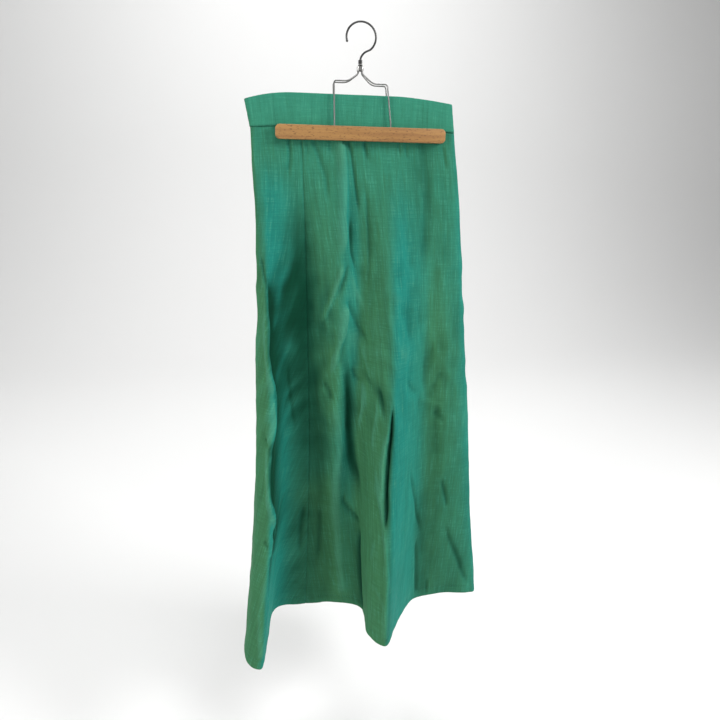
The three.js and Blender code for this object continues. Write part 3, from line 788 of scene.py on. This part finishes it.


# Painted shade: where the cloth is darkened toward its shade colour, as a share, along soft-edged
# lines, standing for the shade in valleys, troughs and flanks.
PAINTED_SHADE_TONES = laid((
    ("left_flank_shade", 1.0, 1.6, 70, 0.2, 1.97, -273, 1.97, -362, 2.0, -414, 1.94, -462,
     2.27, -514, 2.34, -566, 1.9, -610, 1.87, -662, 2.11, -718, 2.64, -771, 2.11, -795, 2.14, -839,
     2.31, -883),
    ("left_flank_upper", 0.34, 20, 38, 0.4, 4.21, -149, 4.14, -257, 4.14, -370, 4.21, -482),
    ("valley_shade", 0.6, 28, 40, 0.3, 5.01, -97, 4.98, -169, 4.91, -261, 4.95, -334, 4.91, -450,
     4.91, -562, 4.91, -682, 4.98, -843),
    ("valley_foot", 0.34, 50, 34, 0.24, 4.81, -738, 4.95, -843, 5.08, -959),
    ("ridge_shade", 0.3, 3, 12, 0.35, 6.55, -133, 6.48, -197, 6.52, -249, 6.62, -302),
    ("middle_soft", 0.22, 22, 26, 0.4, 7.82, -149, 7.79, -241, 7.92, -354, 8.25, -442),
    ("trough_shade", 0.42, 18, 12, 0.3, 5.85, -422, 6.42, -502, 6.58, -566, 6.75, -642, 7.02, -722,
     7.12, -763),
    ("trough_foot", 0.4, 20, 10, 0.24, 6.88, -775, 7.05, -819, 6.98, -883, 6.95, -963),
    ("slit_shade", 0.55, 2.5, 9, 0.24, 8.95, -550, 8.92, -594, 8.82, -646, 8.75, -698, 8.75, -742,
     8.75, -799),
    ("crest_shade", 0.3, 3, 14, 0.24, 8.79, -787, 8.95, -859, 8.92, -911, 8.92, -959),
    ("right_valley", 0.2, 26, 26, 0.45, 10.99, -89, 11.03, -153, 10.93, -225, 10.83, -338,
     10.76, -454, 10.83, -570),
    ("right_soft", 0.26, 46, 44, 0.4, 11.89, -281, 11.73, -474, 11.63, -610, 11.83, -779,
     11.96, -947, 11.96, -975),
    ("right_line_shade", 0.34, 4, 12, 0.35, 12.2, -819, 12.33, -863, 12.6, -899, 12.86, -939),
    ("root_shade", 0.3, 8, 22, 0.4, 10.46, -658, 10.66, -722, 10.89, -791, 11.09, -875,
     11.23, -955),
    ("column_left", 0.16, 16, 16, 0.4, 5.38, -370, 5.41, -486, 5.48, -598, 5.58, -759, 5.55, -951),
    ("crumple_shade", 0.4, 8, 9, 0.35, 6.85, -490, 7.82, -514, 8.35, -538, 8.62, -578),
))

# Painted light: where the cloth is tinted more to its cool dye, above 0, or to its warm one, as
# the light from the right and the left would tint it.
PAINTED_TINT_TONES = laid((
    ("left_cool", 0.35, 30, 30, 0.3, 3.41, -97, 2.97, -221, 3.21, -350, 3.27, -438),
    ("flank_cool", 0.3, 12, 40, 0.3, 2.77, -502, 2.94, -610, 3.37, -771, 3.88, -955),
    ("column_cool", 0.45, 22, 22, 0.3, 9.46, -97, 9.36, -294, 9.49, -438, 9.49, -582, 9.36, -722,
     9.52, -875),
    ("ridge_cool", 0.3, 10, 10, 0.3, 6.15, -97, 6.08, -185, 6.11, -277),
    ("fold_warm", -0.45, 30, 30, 0.3, 7.75, -558, 7.89, -738, 7.99, -863, 8.42, -975),
    ("strip_warm", -0.75, 34, 12, 0.2, 1.47, -310, 1.2, -534, 1.2, -702, 1.37, -867, 1.57, -947),
    ("middle_warm", -0.25, 26, 26, 0.4, 5.71, -406, 5.91, -558, 6.45, -642),
    ("foot_warm", -0.4, 40, 40, 0.3, 5.51, -678, 5.71, -843, 5.65, -951),
    ("right_warm", -0.25, 34, 34, 0.3, 11.69, -281, 11.46, -494, 11.43, -775, 11.63, -955),
))


def settle(obj: bpy.types.Object, material: bpy.types.Material) -> bpy.types.Object:
    """Gives a piece its material and body, and logs its face count.

    Args:
        obj: the finished piece.
        material: its finish.

    Returns:
        The piece.
    """
    obj.data.materials.clear()
    obj.data.materials.append(material)
    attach(obj, BODY)
    LOG.info("%s: %d faces", obj.name, len(obj.data.polygons))
    return obj


def object_from(bm: bmesh.types.BMesh, name: str) -> bpy.types.Object:
    """Turns a bmesh into a smooth-shaded object at the origin.

    Args:
        bm: the mesh, in metres in the row frame.
        name: the object's name.

    Returns:
        The new object.
    """
    for face in bm.faces:
        face.smooth = True
    mesh = bpy.data.meshes.new(name)
    bm.to_mesh(mesh)
    bm.free()
    obj = bpy.data.objects.new(name, mesh)
    bpy.context.scene.collection.objects.link(obj)
    return obj


def lattice(points: np.ndarray, across: np.ndarray, along: np.ndarray,
            weld: bool = False) -> bmesh.types.BMesh:
    """A grid of faces shaped to a table of points, with the cloth map on it.

    Args:
        points: rows from the bottom up, columns to the right, in mm.
        across: each point's place across the cloth, in mm.
        along: each point's place along the cloth, in mm.
        weld: whether the last column meets the first.

    Returns:
        The shaped mesh, in metres.
    """
    rows, columns = points.shape[:2]
    bm = bmesh.new()
    bmesh.ops.create_grid(bm, x_segments=columns - 1, y_segments=rows - 1, size=0.5)
    layer = bm.loops.layers.uv.new("cloth")
    where = {}
    for vert in bm.verts:
        j = round((vert.co.x + 0.5) * (columns - 1))
        i = round((vert.co.y + 0.5) * (rows - 1))
        where[vert.index] = (i, j)
        vert.co = points[i, j] * MM
    for face in bm.faces:
        for loop in face.loops:
            i, j = where[loop.vert.index]
            loop[layer].uv = (across[i, j] * MM, along[i, j] * MM)
    if weld:
        bmesh.ops.remove_doubles(bm, verts=bm.verts, dist=0.00001)
    return bm


def paint(obj: bpy.types.Object, name: str, values: np.ndarray) -> None:
    """Writes one number for each point of a mesh, for its material to read."""
    attribute = obj.data.attributes.new(name, "FLOAT", "POINT")
    attribute.data.foreach_set("value", values.astype(np.float32))


def thicken(obj: bpy.types.Object, thickness: float) -> None:
    """Gives a sheet its cloth thickness inwards, in mm."""
    solid = obj.modifiers.new("ply", "SOLIDIFY")
    solid.thickness = thickness * MM
    solid.offset = -1.0


def ripple(a: float, b: float, seed: float) -> float:
    """Smooth noise about 0 at a place on the cloth."""
    return noise.noise(Vector((a, b, seed)))


@dataclass
class Panel:
    """One shaped skirt panel, seamed at both edges and turned up at the hem."""

    name: str
    first: FoldLine
    last: FoldLine
    columns: int
    rows: int
    dense: tuple[float, float]
    flat: tuple[float, float]
    area: float
    creases: tuple[Crease, ...]
    seed: float
    ply: float = 0.6
    density: float = 1.55
    relief: float = 1.55
    # How strongly a crease's lift paints shade in troughs, and how far it paints a highlight on
    # ridges.
    shade_depth: float = 9.0
    shade_floor: float = -0.6
    tuck_depth: float = 0.95
    edge_depth: float = 0.35
    tuck: tuple[float, ...] = ()
    form: FoldForm = field(default_factory=FoldForm)
    hem_line: Optional[np.ndarray] = None

    def places(self) -> np.ndarray:
        """Spaces the columns round the tube, closer together where the cloth is seen.

        Returns:
            Each column's place, counted in fold lines.
        """
        start, end = FoldLine.place(self.first), FoldLine.place(self.last)
        if end < start:
            end += self.form.count
        fine = np.linspace(start, end, 1201)
        total = np.zeros(1200)
        for z in (-200.0, -660.0, -960.0):
            run = self.form.section(z, fine)
            total += np.sqrt((np.diff(run, axis=0) ** 2).sum(axis=1))
        middle = (fine[1:] + fine[:-1]) / 2
        seen = (middle > self.dense[0]) & (middle < self.dense[1])
        total *= np.where(seen, self.density, 1.0)
        sums = np.concatenate([[0.0], np.cumsum(total)])
        inner = self.columns - 2 * len(self.tuck)
        body = np.interp(np.linspace(0, sums[-1], inner), sums, fine)
        under = np.array(self.tuck)
        return np.concatenate([start - 0.5 * under, body, end + under[::-1]])

    def levels(self) -> list[tuple[float, float]]:
        """Spaces the rows, from the hem's inner edge up.

        Returns:
            The height of each, and its depth inside the outer face.
        """
        hem = -SKIRT_LENGTH
        turned = [(hem + HEM_DEPTH - 1.5, 1.75), (hem + 9.0, 1.8), (hem + 3.0, 1.7),
                  (hem + 0.5, 1.35), (hem, 0.8), (hem + 0.5, 0.2)]
        stitch = [hem + 3.0, hem + 9.0, hem + 12.5, hem + 14.2, hem + 15.0, hem + 15.8,
                  hem + 17.6]
        top = -BAND_HEIGHT - GAP
        near = [-61.0, -66.0, -72.0, -78.0]
        count = self.rows - len(turned) - len(stitch) - len(near) - 1
        body = np.linspace(stitch[-1], -83.0, count + 1)[1:]
        outer = stitch + list(body) + near[::-1] + [top]
        return turned + [(z, 0.0) for z in outer]

    def seam_dip(self, run: np.ndarray, z: float) -> np.ndarray:
        """How far the cloth turns in beside its seams on one row, in mm.

        Args:
            run: arc lengths of the row's points.
            z: the row's height.

        Returns:
            Each point's lift, below 0 at a seam.
        """
        under = len(self.tuck)
        left = np.maximum(0.0, run - run[under])
        right = np.maximum(0.0, run[-1 - under] - run)
        dip = np.zeros(len(run))
        for away, line in ((left, self.first), (right, self.last)):
            zip_side = line is FoldLine.SIDE_SEAM and z > -280.0
            deep, wide = (1.0, 3.2) if zip_side else (0.45, 2.2)
            dip -= deep * np.exp(-((away / wide) ** 2))
            pucker = np.exp(-((away / 16.0) ** 2))
            dip += pucker * 0.35 * math.sin(z / 7.3 + 1.7 * math.sin(z / 31.0))
        return dip

    def ruler(self, z: float, places: np.ndarray) -> tuple[np.ndarray, np.ndarray]:
        """Measures one level of the tube, well past the panel's edges.

        Args:
            z: the level's height.
            places: the panel's places there.

        Returns:
            Places round the tube, and their arc lengths from the panel's first point.
        """
        past = np.linspace(0.1, 6.0, 60)
        wide = np.concatenate([places[0] - past[::-1], places, places[-1] + past])
        flat = self.form.section(z, wide)
        run = arc(flat)
        return wide, run - run[len(past)]

    def lift(self, run: np.ndarray, z: float,
             ruler: tuple[np.ndarray, np.ndarray]) -> np.ndarray:
        """How far each point of a row stands off the plain form, in mm.

        Args:
            run: arc lengths of the row's points.
            z: the row's height.
            ruler: the level's places and arc lengths.

        Returns:
            Each point's lift along the outward normal.
        """
        out = self.seam_dip(run, z)
        for crease in self.creases:
            out += self.relief * crease.lift(run, z, ruler, self.form.count)
        free = float(smooth(-86.0, -130.0, z))
        crumpled = float(smooth(-230.0, -330.0, z) * smooth(-660.0, -520.0, z))
        beside = np.minimum(np.abs(run), np.abs(run[-1] - run))
        ease = 1.0 - 0.9 * np.exp(-((beside / 18.0) ** 2))
        for j, s in enumerate(run):
            broad = ripple(s / 46.0, z / 170.0, self.seed) * 2.2
            small = ripple(s / 17.0, z / 62.0, self.seed + 7) * (0.7 + 0.9 * crumpled)
            cross = ripple(s / 30.0 + z / 80.0, z / 26.0, self.seed + 13) * (0.35 + 0.8 * crumpled)
            fine = ripple(s / 8.0, z / 20.0, self.seed + 19) * 0.22
            sharp = 0.3 - abs(ripple(s / 40.0 + z / 150.0, z / 78.0, self.seed + 23))
            sharp *= 1.5 + 3.2 * crumpled
            out[j] += ((broad + small + cross + sharp) * free + fine) * ease[j]
        stitched = np.exp(-(((z + SKIRT_LENGTH - HEM_DEPTH) / 1.5) ** 2))
        dimple = 0.5 + 0.25 * np.sin(run / 2.1)
        return out - stitched * dimple

    def surface(self) -> tuple[np.ndarray, ...]:
        """The panel's points, their places on the cloth map, their painted shade and highlight,
        and their painted side tint.

        Returns:
            Points, across, along, painted shade and highlight, painted side tint.
        """
        places = self.places()
        levels = self.levels()
        points = np.zeros((len(levels), len(places), 3))
        across = np.zeros(points.shape[:2])
        along = np.zeros(points.shape[:2])
        painted_shade_and_highlight = np.zeros(points.shape[:2])
        painted_side_tint = np.zeros(points.shape[:2])
        travelled = 0.0
        for i, (z, depth) in enumerate(levels):
            flat = self.form.section(z, places)
            step = np.gradient(flat, axis=0)
            size = np.maximum(np.sqrt((step**2).sum(axis=1)), 1e-6)
            out = np.stack([step[:, 1], -step[:, 0]], axis=1) / size[:, None]
            run = arc(flat)
            ruler = self.ruler(z, places)
            lift = self.lift(run, z, ruler)
            under = len(self.tuck)
            sunk = np.zeros(len(places))
            if under:
                sunk[:under] = sunk[-under:] = self.tuck_depth
            else:
                sunk[[0, -1]] = self.edge_depth
            moved = flat + out * (lift - depth - sunk)[:, None]
            top = -BAND_HEIGHT - GAP
            share = np.clip(1.0 - (top - z) / 120.0, 0.0, 1.0)
            uneven = float(smooth(-880.0, -975.0, z))
            drop = np.array([ripple(s / 120.0, 3.0, self.seed) * 4.0 for s in run]) * uneven
            points[i, :, :2] = moved
            points[i, :, 2] = BAND_TOP + z - 0.3 * sag(moved[:, 0]) * share + drop
            if i:
                travelled += abs(z - levels[i - 1][0]) + abs(depth - levels[i - 1][1])
            across[i] = run - run[len(run) // 2]
            along[i] = travelled
            # Painted shade in troughs and along the listed tones, and a painted highlight on
            # ridges where the lift is high.
            deep = sum(t.lift(run, z, ruler, self.form.count) for t in PAINTED_SHADE_TONES)
            shade = np.clip(-lift / self.shade_depth, self.shade_floor, 1.0)
            painted_shade_and_highlight[i] = np.clip(shade + deep, self.shade_floor, 1.0)
            # Painted light: the listed cool and warm tints.
            painted_side_tint[i] = sum(t.lift(run, z, ruler, self.form.count) for t in PAINTED_TINT_TONES)
        return points, across, along, painted_shade_and_highlight, painted_side_tint

    def broad_lean(self) -> np.ndarray:
        """Which way the plain form faces.

        Returns:
            A number for each point, from -1 for left to 1 for right.
        """
        places = self.places()
        rows = []
        for z, _ in self.levels():
            step = np.gradient(self.form.section(z, places), axis=0)
            rows.append(step[:, 1] / np.maximum(np.sqrt((step**2).sum(axis=1)), 1e-6))
        return np.array(rows)

    def build(self, material: bpy.types.Material, slot: str) -> bpy.types.Object:
        """Args:
            material: its linen.
            slot: not used.

        Returns:
            The panel.
        """
        points, across, along, painted_shade_and_highlight, painted_side_tint = self.surface()
        bm = lattice(points, across, along)
        bm.normal_update()
        rows, columns = points.shape[:2]
        lean = np.array([v.normal.x for v in bm.verts])
        obj = object_from(bm, self.name + "_cloth")
        broad = self.broad_lean().reshape(-1)
        # Painted light: the tint follows which way each point faces, cool to the right and warm to
        # the left, plus the listed tints; then the painted shade and highlight.
        paint(obj, "painted_side_tint", 0.46 + 0.28 * lean + 0.30 * broad + painted_side_tint.reshape(-1))
        paint(obj, "painted_shade_and_highlight", painted_shade_and_highlight.reshape(-1))
        thicken(obj, self.ply)
        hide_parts(self.name)
        settle(obj, material)
        self.hem_line = points[self.stitch_row()]
        return obj

    def stitch_row(self) -> int:
        """The row that the hem's stitches run along."""
        heights = [abs(z + SKIRT_LENGTH - HEM_DEPTH) + 100.0 * (d > 0) for z, d in self.levels()]
        return int(np.argmin(heights))


@dataclass
class HemStitches:
    """Small hand stitches that catch the turned hem all round."""

    spacing: float = 4.6
    length: float = 2.3
    radius: float = 0.24

    def build(self, lines: dict[str, np.ndarray], material: bpy.types.Material) -> None:
        """Lays stitches along each panel's stitch row.

        Args:
            lines: points of the row on each panel, in mm.
            material: the thread.
        """
        for name, line in lines.items():
            bm = bmesh.new()
            run = arc(line)
            for s in np.arange(4.0, run[-1] - 4.0, self.spacing):
                a = np.array([np.interp(s, run, line[:, k]) for k in range(3)])
                b = np.array([np.interp(s + 1.0, run, line[:, k]) for k in range(3)])
                way = Vector(b - a).normalized()
                side = Vector((way.y, -way.x, 0.0)).normalized()
                up = side.cross(way)
                turn = Matrix((way, side, up)).transposed().to_4x4()
                size = Matrix.Diagonal((self.length / 2, self.radius, self.radius, 1.0))
                spot = Matrix.Translation(Vector(a) * MM + side * 0.05 * MM)
                bmesh.ops.create_uvsphere(bm, u_segments=6, v_segments=4, radius=MM,
                                          matrix=spot @ turn @ size)
            settle(object_from(bm, name + "_hem_stitches"), material)


@dataclass
class Waistband:
    """The waistband: cloth folded over along its top and pressed flat in the clamp."""

    left: tuple[float, float] = (-203.0, -194.0)
    right: tuple[float, float] = (169.0, 175.0)
    seam: float = -104.0
    ply: float = 0.7
    fold: float = 2.3

    def profile(self) -> list[tuple[float, float]]:
        """Spaces the band's rows, up the outside and down the inside.

        Returns:
            The share of the way down of each, and its depth.
        """
        outer = [(v, 0.0) for v in np.linspace(1.0, 0.035, 15)]
        inner = [(v, self.fold) for v in np.linspace(0.035, 1.0, 10)]
        half = self.fold / 2
        over = [(0.035 - 0.035 * math.sin(a), half - half * math.cos(a))
                for a in np.linspace(0.0, math.pi, 9)[1:-1]]
        return outer + over + inner

    def point(self, s: float, v: float, depth: float) -> tuple[Vector, float]:
        """A point of the band.

        Args:
            s: share of the way round, from the side seam over the right end.
            v: share of the way down.
            depth: mm inside the outer face.

        Returns:
            The point in mm and its arc place in mm.
        """
        low = self.left[0] + (self.left[1] - self.left[0]) * v + BAND_HALF
        high = self.right[0] + (self.right[1] - self.right[0]) * v - BAND_HALF
        reach = BAND_HALF - depth
        bend = math.pi * BAND_HALF
        runs = (high - self.seam, bend, high - low, bend, self.seam - low)
        place = s * sum(runs)
        x, y = self.seam, -reach
        rest = place
        for index, run in enumerate(runs):
            if rest <= run or index == 4:
                t = min(1.0, rest / run)
                if index == 0:
                    x, y = self.seam + (high - self.seam) * t, -reach
                elif index == 2:
                    x, y = high + (low - high) * t, reach
                elif index == 4:
                    x, y = low + (self.seam - low) * t, -reach
                else:
                    angle = (-0.5 if index == 1 else 0.5) * math.pi + t * math.pi
                    centre = high if index == 1 else low
                    x, y = centre + reach * math.cos(angle), reach * math.sin(angle)
                break
            rest -= run
        z = BAND_TOP - BAND_HEIGHT * v - sag(x) * (1.0 - 0.7 * v)
        return Vector((float(x), float(y), float(z))), place

    def build(self, material: bpy.types.Material) -> bpy.types.Object:
        """Args:
            material: its linen.

        Returns:
            The band.
        """
        profile = self.profile()
        stops = np.linspace(0.0, 1.0, 261)
        points = np.zeros((len(profile), len(stops), 3))
        across = np.zeros(points.shape[:2])
        along = np.zeros(points.shape[:2])
        for i, (v, depth) in enumerate(profile):
            for j, s in enumerate(stops):
                p, place = self.point(s, v, depth)
                side = -1.0 if p.y < 0 else 1.0
                free = smooth(0.97, 0.80, v) * smooth(0.0, 4.3, abs(p.y))
                wave = (ripple(p.x / 42.0, v * 1.6, 31.0 + side) * 1.0
                        + ripple(p.x / 13.0, v * 3.0, 37.0 + side) * 0.30)
                pressed = smooth(156.0, 172.0, abs(p.x - 3.0)) * 0.6 + 0.4
                crease = -0.5 * math.exp(-(((v - 0.045) * 57.0 - 2.0) / 1.2) ** 2)
                p.y += side * (min(0.9, wave * pressed) + crease) * free
                p.z += ripple(p.x / 60.0, 2.0, 41.0) * 0.7 * (1.0 - v)
                points[i, j] = p
                across[i, j] = place
                along[i, j] = BAND_HEIGHT * (v if depth > 1.2 else -v)
        bm = lattice(points, across, along, weld=True)
        bm.normal_update()
        lean = np.array([v.normal.x for v in bm.verts])
        tall = np.array([(BAND_TOP - v.co.z / MM) / BAND_HEIGHT for v in bm.verts])
        obj = object_from(bm, "waistband_cloth")
        # Painted light: the band's tint follows which way it faces, cooler to the right and toward
        # the top; it has no painted shade.
        paint(obj, "painted_side_tint", 0.70 + 0.35 * lean - 0.10 * tall)
        paint(obj, "painted_shade_and_highlight", np.zeros(len(lean)))
        thicken(obj, self.ply)
        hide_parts("waistband")
        settle(obj, material)
        return obj


@dataclass
class Zip:
    """A concealed zip inside the side seam: two tapes, a closed coil and its slider."""

    length: float = 220.0
    width: float = 24.0
    inset: float = 1.9
    coil: float = 1.1

    def build(self, tape: bpy.types.Material, metal: bpy.types.Material) -> None:
        """Makes the tape with its coil ridge and finishes the tab.

        Args:
            tape: the tape's finish.
            metal: the tab's finish.
        """
        form = FoldForm()
        line = FoldLine.place(FoldLine.SIDE_SEAM)
        low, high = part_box("zip_tape")
        heights = np.linspace(low.z / MM + 0.3, high.z / MM - 0.3, 110)
        half = np.array([0.5, 1.1, 1.6, 4.0, 8.0, 12.0])
        spread = np.concatenate([-half[::-1], [0.0], half])
        points = np.zeros((len(heights), len(spread), 3))
        for i, height in enumerate(heights):
            z = height - BAND_TOP
            places = np.linspace(line - 0.7, line + 0.7, 281)
            flat = form.section(z, places)
            run = arc(flat)
            run -= run[140]
            near = [np.interp(spread, run, flat[:, k]) for k in range(2)]
            step = np.gradient(np.stack(near, axis=1), axis=0)
            step /= np.sqrt((step**2).sum(axis=1))[:, None]
            bump = np.where(np.abs(spread) < 1.3, self.coil * (0.8 + 0.2 * (i % 2)), 0.0)
            inward = (self.inset + 0.2 + bump)[:, None]
            shift = np.stack([-step[:, 1], step[:, 0]], axis=1) * inward
            points[i, :, :2] = np.stack(near, axis=1) + shift
            points[i, :, 2] = height
        across = np.tile(spread, (len(heights), 1))
        along = np.tile(heights[:, None], (1, len(spread)))
        obj = object_from(lattice(points, across, along), "zip_tape_cloth")
        thicken(obj, 0.5)
        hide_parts("zip_tape")
        settle(obj, tape)
        settle(SmoothPart("zip_tab", "zip_tab_metal").build(), metal)


# ---- the hanger -------------------------------------------------------------------------------


@dataclass
class SmoothPart:
    """A hard part taken over from the model, with its facets merged and shaded smooth."""

    node: str
    name: str
    crease: float = 38.0

    def build(self) -> bpy.types.Object:
        """Makes the merged copy, which stands for the node.

        Returns:
            The copy.
        """
        bm = bmesh.new()
        bm.from_mesh(frame["nodes"][self.node].data)
        bmesh.ops.remove_doubles(bm, verts=bm.verts, dist=0.000002)
        bm.normal_update()
        for edge in bm.edges:
            if len(edge.link_faces) == 2:
                edge.smooth = edge.calc_face_angle(0.0) < math.radians(self.crease)
        obj = object_from(bm, self.name)
        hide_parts(self.node)
        return obj


@dataclass
class Hanger:
    """The clamp hanger: two wooden bars, two bent wire frames, a collar and a hook."""

    def build(self, wood: bpy.types.Material, wire: bpy.types.Material,
              collar: bpy.types.Material, hook: bpy.types.Material) -> None:
        """Dresses each part.

        Args:
            wood: the bars' finish.
            wire: the frames' finish.
            collar: the collar's finish.
            hook: the hook's finish.
        """
        for side in ("front", "back"):
            settle(SmoothPart("bar_" + side, f"bar_{side}_wood").build(), wood)
            settle(SmoothPart("frame_" + side, f"frame_{side}_wire").build(), wire)
        settle(SmoothPart("collar", "collar_sleeve").build(), collar)
        settle(SmoothPart("hook", "hook_wire").build(), hook)


# ---- the studio -------------------------------------------------------------------------------


@dataclass
class Studio:
    """A pale floor that curves up behind, soft lights and the camera."""

    eye: tuple[float, float, float] = (-0.1224, -0.9613, -0.2782)
    turn: float = 7.43
    dip: float = 8.9
    roll: float = 1.08
    lens: float = 26.25
    shift: tuple[float, float] = (0.0019, -0.1300)
    floor: float = -1.42

    def backdrop(self) -> None:
        """One pale sheet, flat under the skirt and curved up well behind it."""
        bm = bmesh.new()
        edge = [bm.verts.new((-7.0, -5.0, self.floor)), bm.verts.new((-7.0, 2.2, self.floor))]
        for k in range(1, 13):
            a = k / 12 * math.pi / 2
            edge.append(bm.verts.new((-7.0, 2.2 + 1.4 * math.sin(a),
                                      self.floor + 1.4 * (1.0 - math.cos(a)))))
        edge.append(bm.verts.new((-7.0, 3.6, 5.0)))
        edges = [bm.edges.new(pair) for pair in zip(edge, edge[1:])]
        swept = bmesh.ops.extrude_edge_only(bm, edges=edges)["geom"]
        moved = [v for v in swept if isinstance(v, bmesh.types.BMVert)]
        bmesh.ops.translate(bm, verts=moved, vec=(14.0, 0.0, 0.0))
        bmesh.ops.recalc_face_normals(bm, faces=bm.faces)
        obj = object_from(bm, "studio_floor")
        obj.data.materials.append(PaleFinish("floor_paint").material())

    def light(self, name: str, place: Sequence[float], aim: Sequence[float], size: float,
              power: float, colour: Colour = (1.0, 1.0, 1.0)) -> None:
        """Adds one soft area light.

        Args:
            name: the light's name.
            place: where it stands.
            aim: the point it faces.
            size: its side, in metres.
            power: in watts.
            colour: its tint.
        """
        lamp = bpy.data.lights.new(name, "AREA")
        lamp.size = size
        lamp.energy = power
        lamp.color = colour
        obj = bpy.data.objects.new(name, lamp)
        obj.location = place
        way = Vector(aim) - Vector(place)
        obj.rotation_euler = way.to_track_quat("-Z", "Y").to_euler()
        bpy.context.scene.collection.objects.link(obj)

    def camera(self) -> None:
        """Sets the camera up and makes it the scene's."""
        data = bpy.data.cameras.new("studio_camera")
        data.sensor_width = 36.0
        data.lens = self.lens
        data.shift_x, data.shift_y = self.shift
        obj = bpy.data.objects.new("studio_camera", data)
        t, d, r = (math.radians(a) for a in (self.turn, self.dip, self.roll))
        ahead = Vector((math.sin(t) * math.cos(d), math.cos(t) * math.cos(d), -math.sin(d)))
        right = Vector((math.cos(t), -math.sin(t), 0.0))
        up = right.cross(ahead)
        right, up = (right * math.cos(r) + up * math.sin(r),
                     up * math.cos(r) - right * math.sin(r))
        frame = Matrix((right, up, -ahead)).transposed().to_4x4()
        obj.matrix_world = Matrix.Translation(self.eye) @ frame
        bpy.context.scene.collection.objects.link(obj)
        bpy.context.scene.camera = obj

    def build(self) -> None:
        """Makes the studio."""
        scene = bpy.context.scene
        scene.view_settings.view_transform = "Standard"
        world = bpy.data.worlds.new("studio_air")
        world.use_nodes = True
        back = world.node_tree.nodes["Background"]
        back.inputs["Color"].default_value = (1.0, 1.0, 1.0, 1.0)
        back.inputs["Strength"].default_value = 0.25
        scene.world = world
        self.backdrop()
        centre = (0.0, 0.0, -0.55)
        self.light("key_panel", (1.9, -1.0, 0.85), centre, 0.7, 50.0)
        self.light("top_panel", (0.35, -0.9, 1.3), (0.0, 0.0, -0.3), 0.6, 8.0)
        self.light("fill_panel", (-1.7, -1.3, 0.0), centre, 0.9, 20.0)
        self.light("floor_wash", (0.0, 1.0, 2.6), (0.0, 2.6, -1.2), 2.4, 90.0)
        self.light("front_wash", (0.0, -2.6, 2.4), (0.0, -1.0, -1.4), 2.4, 22.0)
        self.camera()


def main() -> None:
    """Builds the skirt, its hanger and the studio."""
    logging.basicConfig(level=logging.INFO, format="%(message)s")
    linen = LinenFinish("skirt_linen").material()
    band_linen = LinenFinish("band_linen", cool=(0.034, 0.255, 0.178),
                             warm=(0.050, 0.222, 0.112)).material()
    front = Panel("front_panel", FoldLine.SIDE_SEAM, FoldLine.FAR_SEAM, 300, 152,
                  (4.9, 14.5), (0.80, 0.935), 0.52, FRONT_CREASES + BACK_CREASES, 3.0,
                  tuck=(0.14, 0.08, 0.02))
    back = Panel("back_panel", FoldLine.FAR_SEAM, FoldLine.SIDE_SEAM, 300, 152,
                 (35.6, 41.1), (0.95, 0.935), 0.56, FRONT_CREASES + BACK_CREASES, 11.0)
    band = Waistband().build(band_linen)
    for panel in (front, back):
        panel.build(linen, "linen")
    HemStitches().build({p.name: p.hem_line for p in (front, back)},
                        ThreadFinish("linen_thread").material())
    Zip().build(ThreadFinish("zip_tape_weave", (0.012, 0.10, 0.06), 0.0012).material(),
                SteelFinish("zip_pull_metal", roughness=0.22).material())
    Hanger().build(WoodFinish("beech_bar").material(),
                   SteelFinish("bright_wire", (0.21, 0.21, 0.205), (0.10, 0.10, 0.095)).material(),
                   SteelFinish("collar_plate", (0.66, 0.66, 0.64), roughness=0.18).material(),
                   SteelFinish("dark_wire", (0.085, 0.085, 0.085), (0.04, 0.04, 0.04),
                               0.34).material())
    Studio().build()
    LOG.info("waistband over %d fold lines, %s", front.form.count, band.name)


if __name__ == "__main__":
    main()
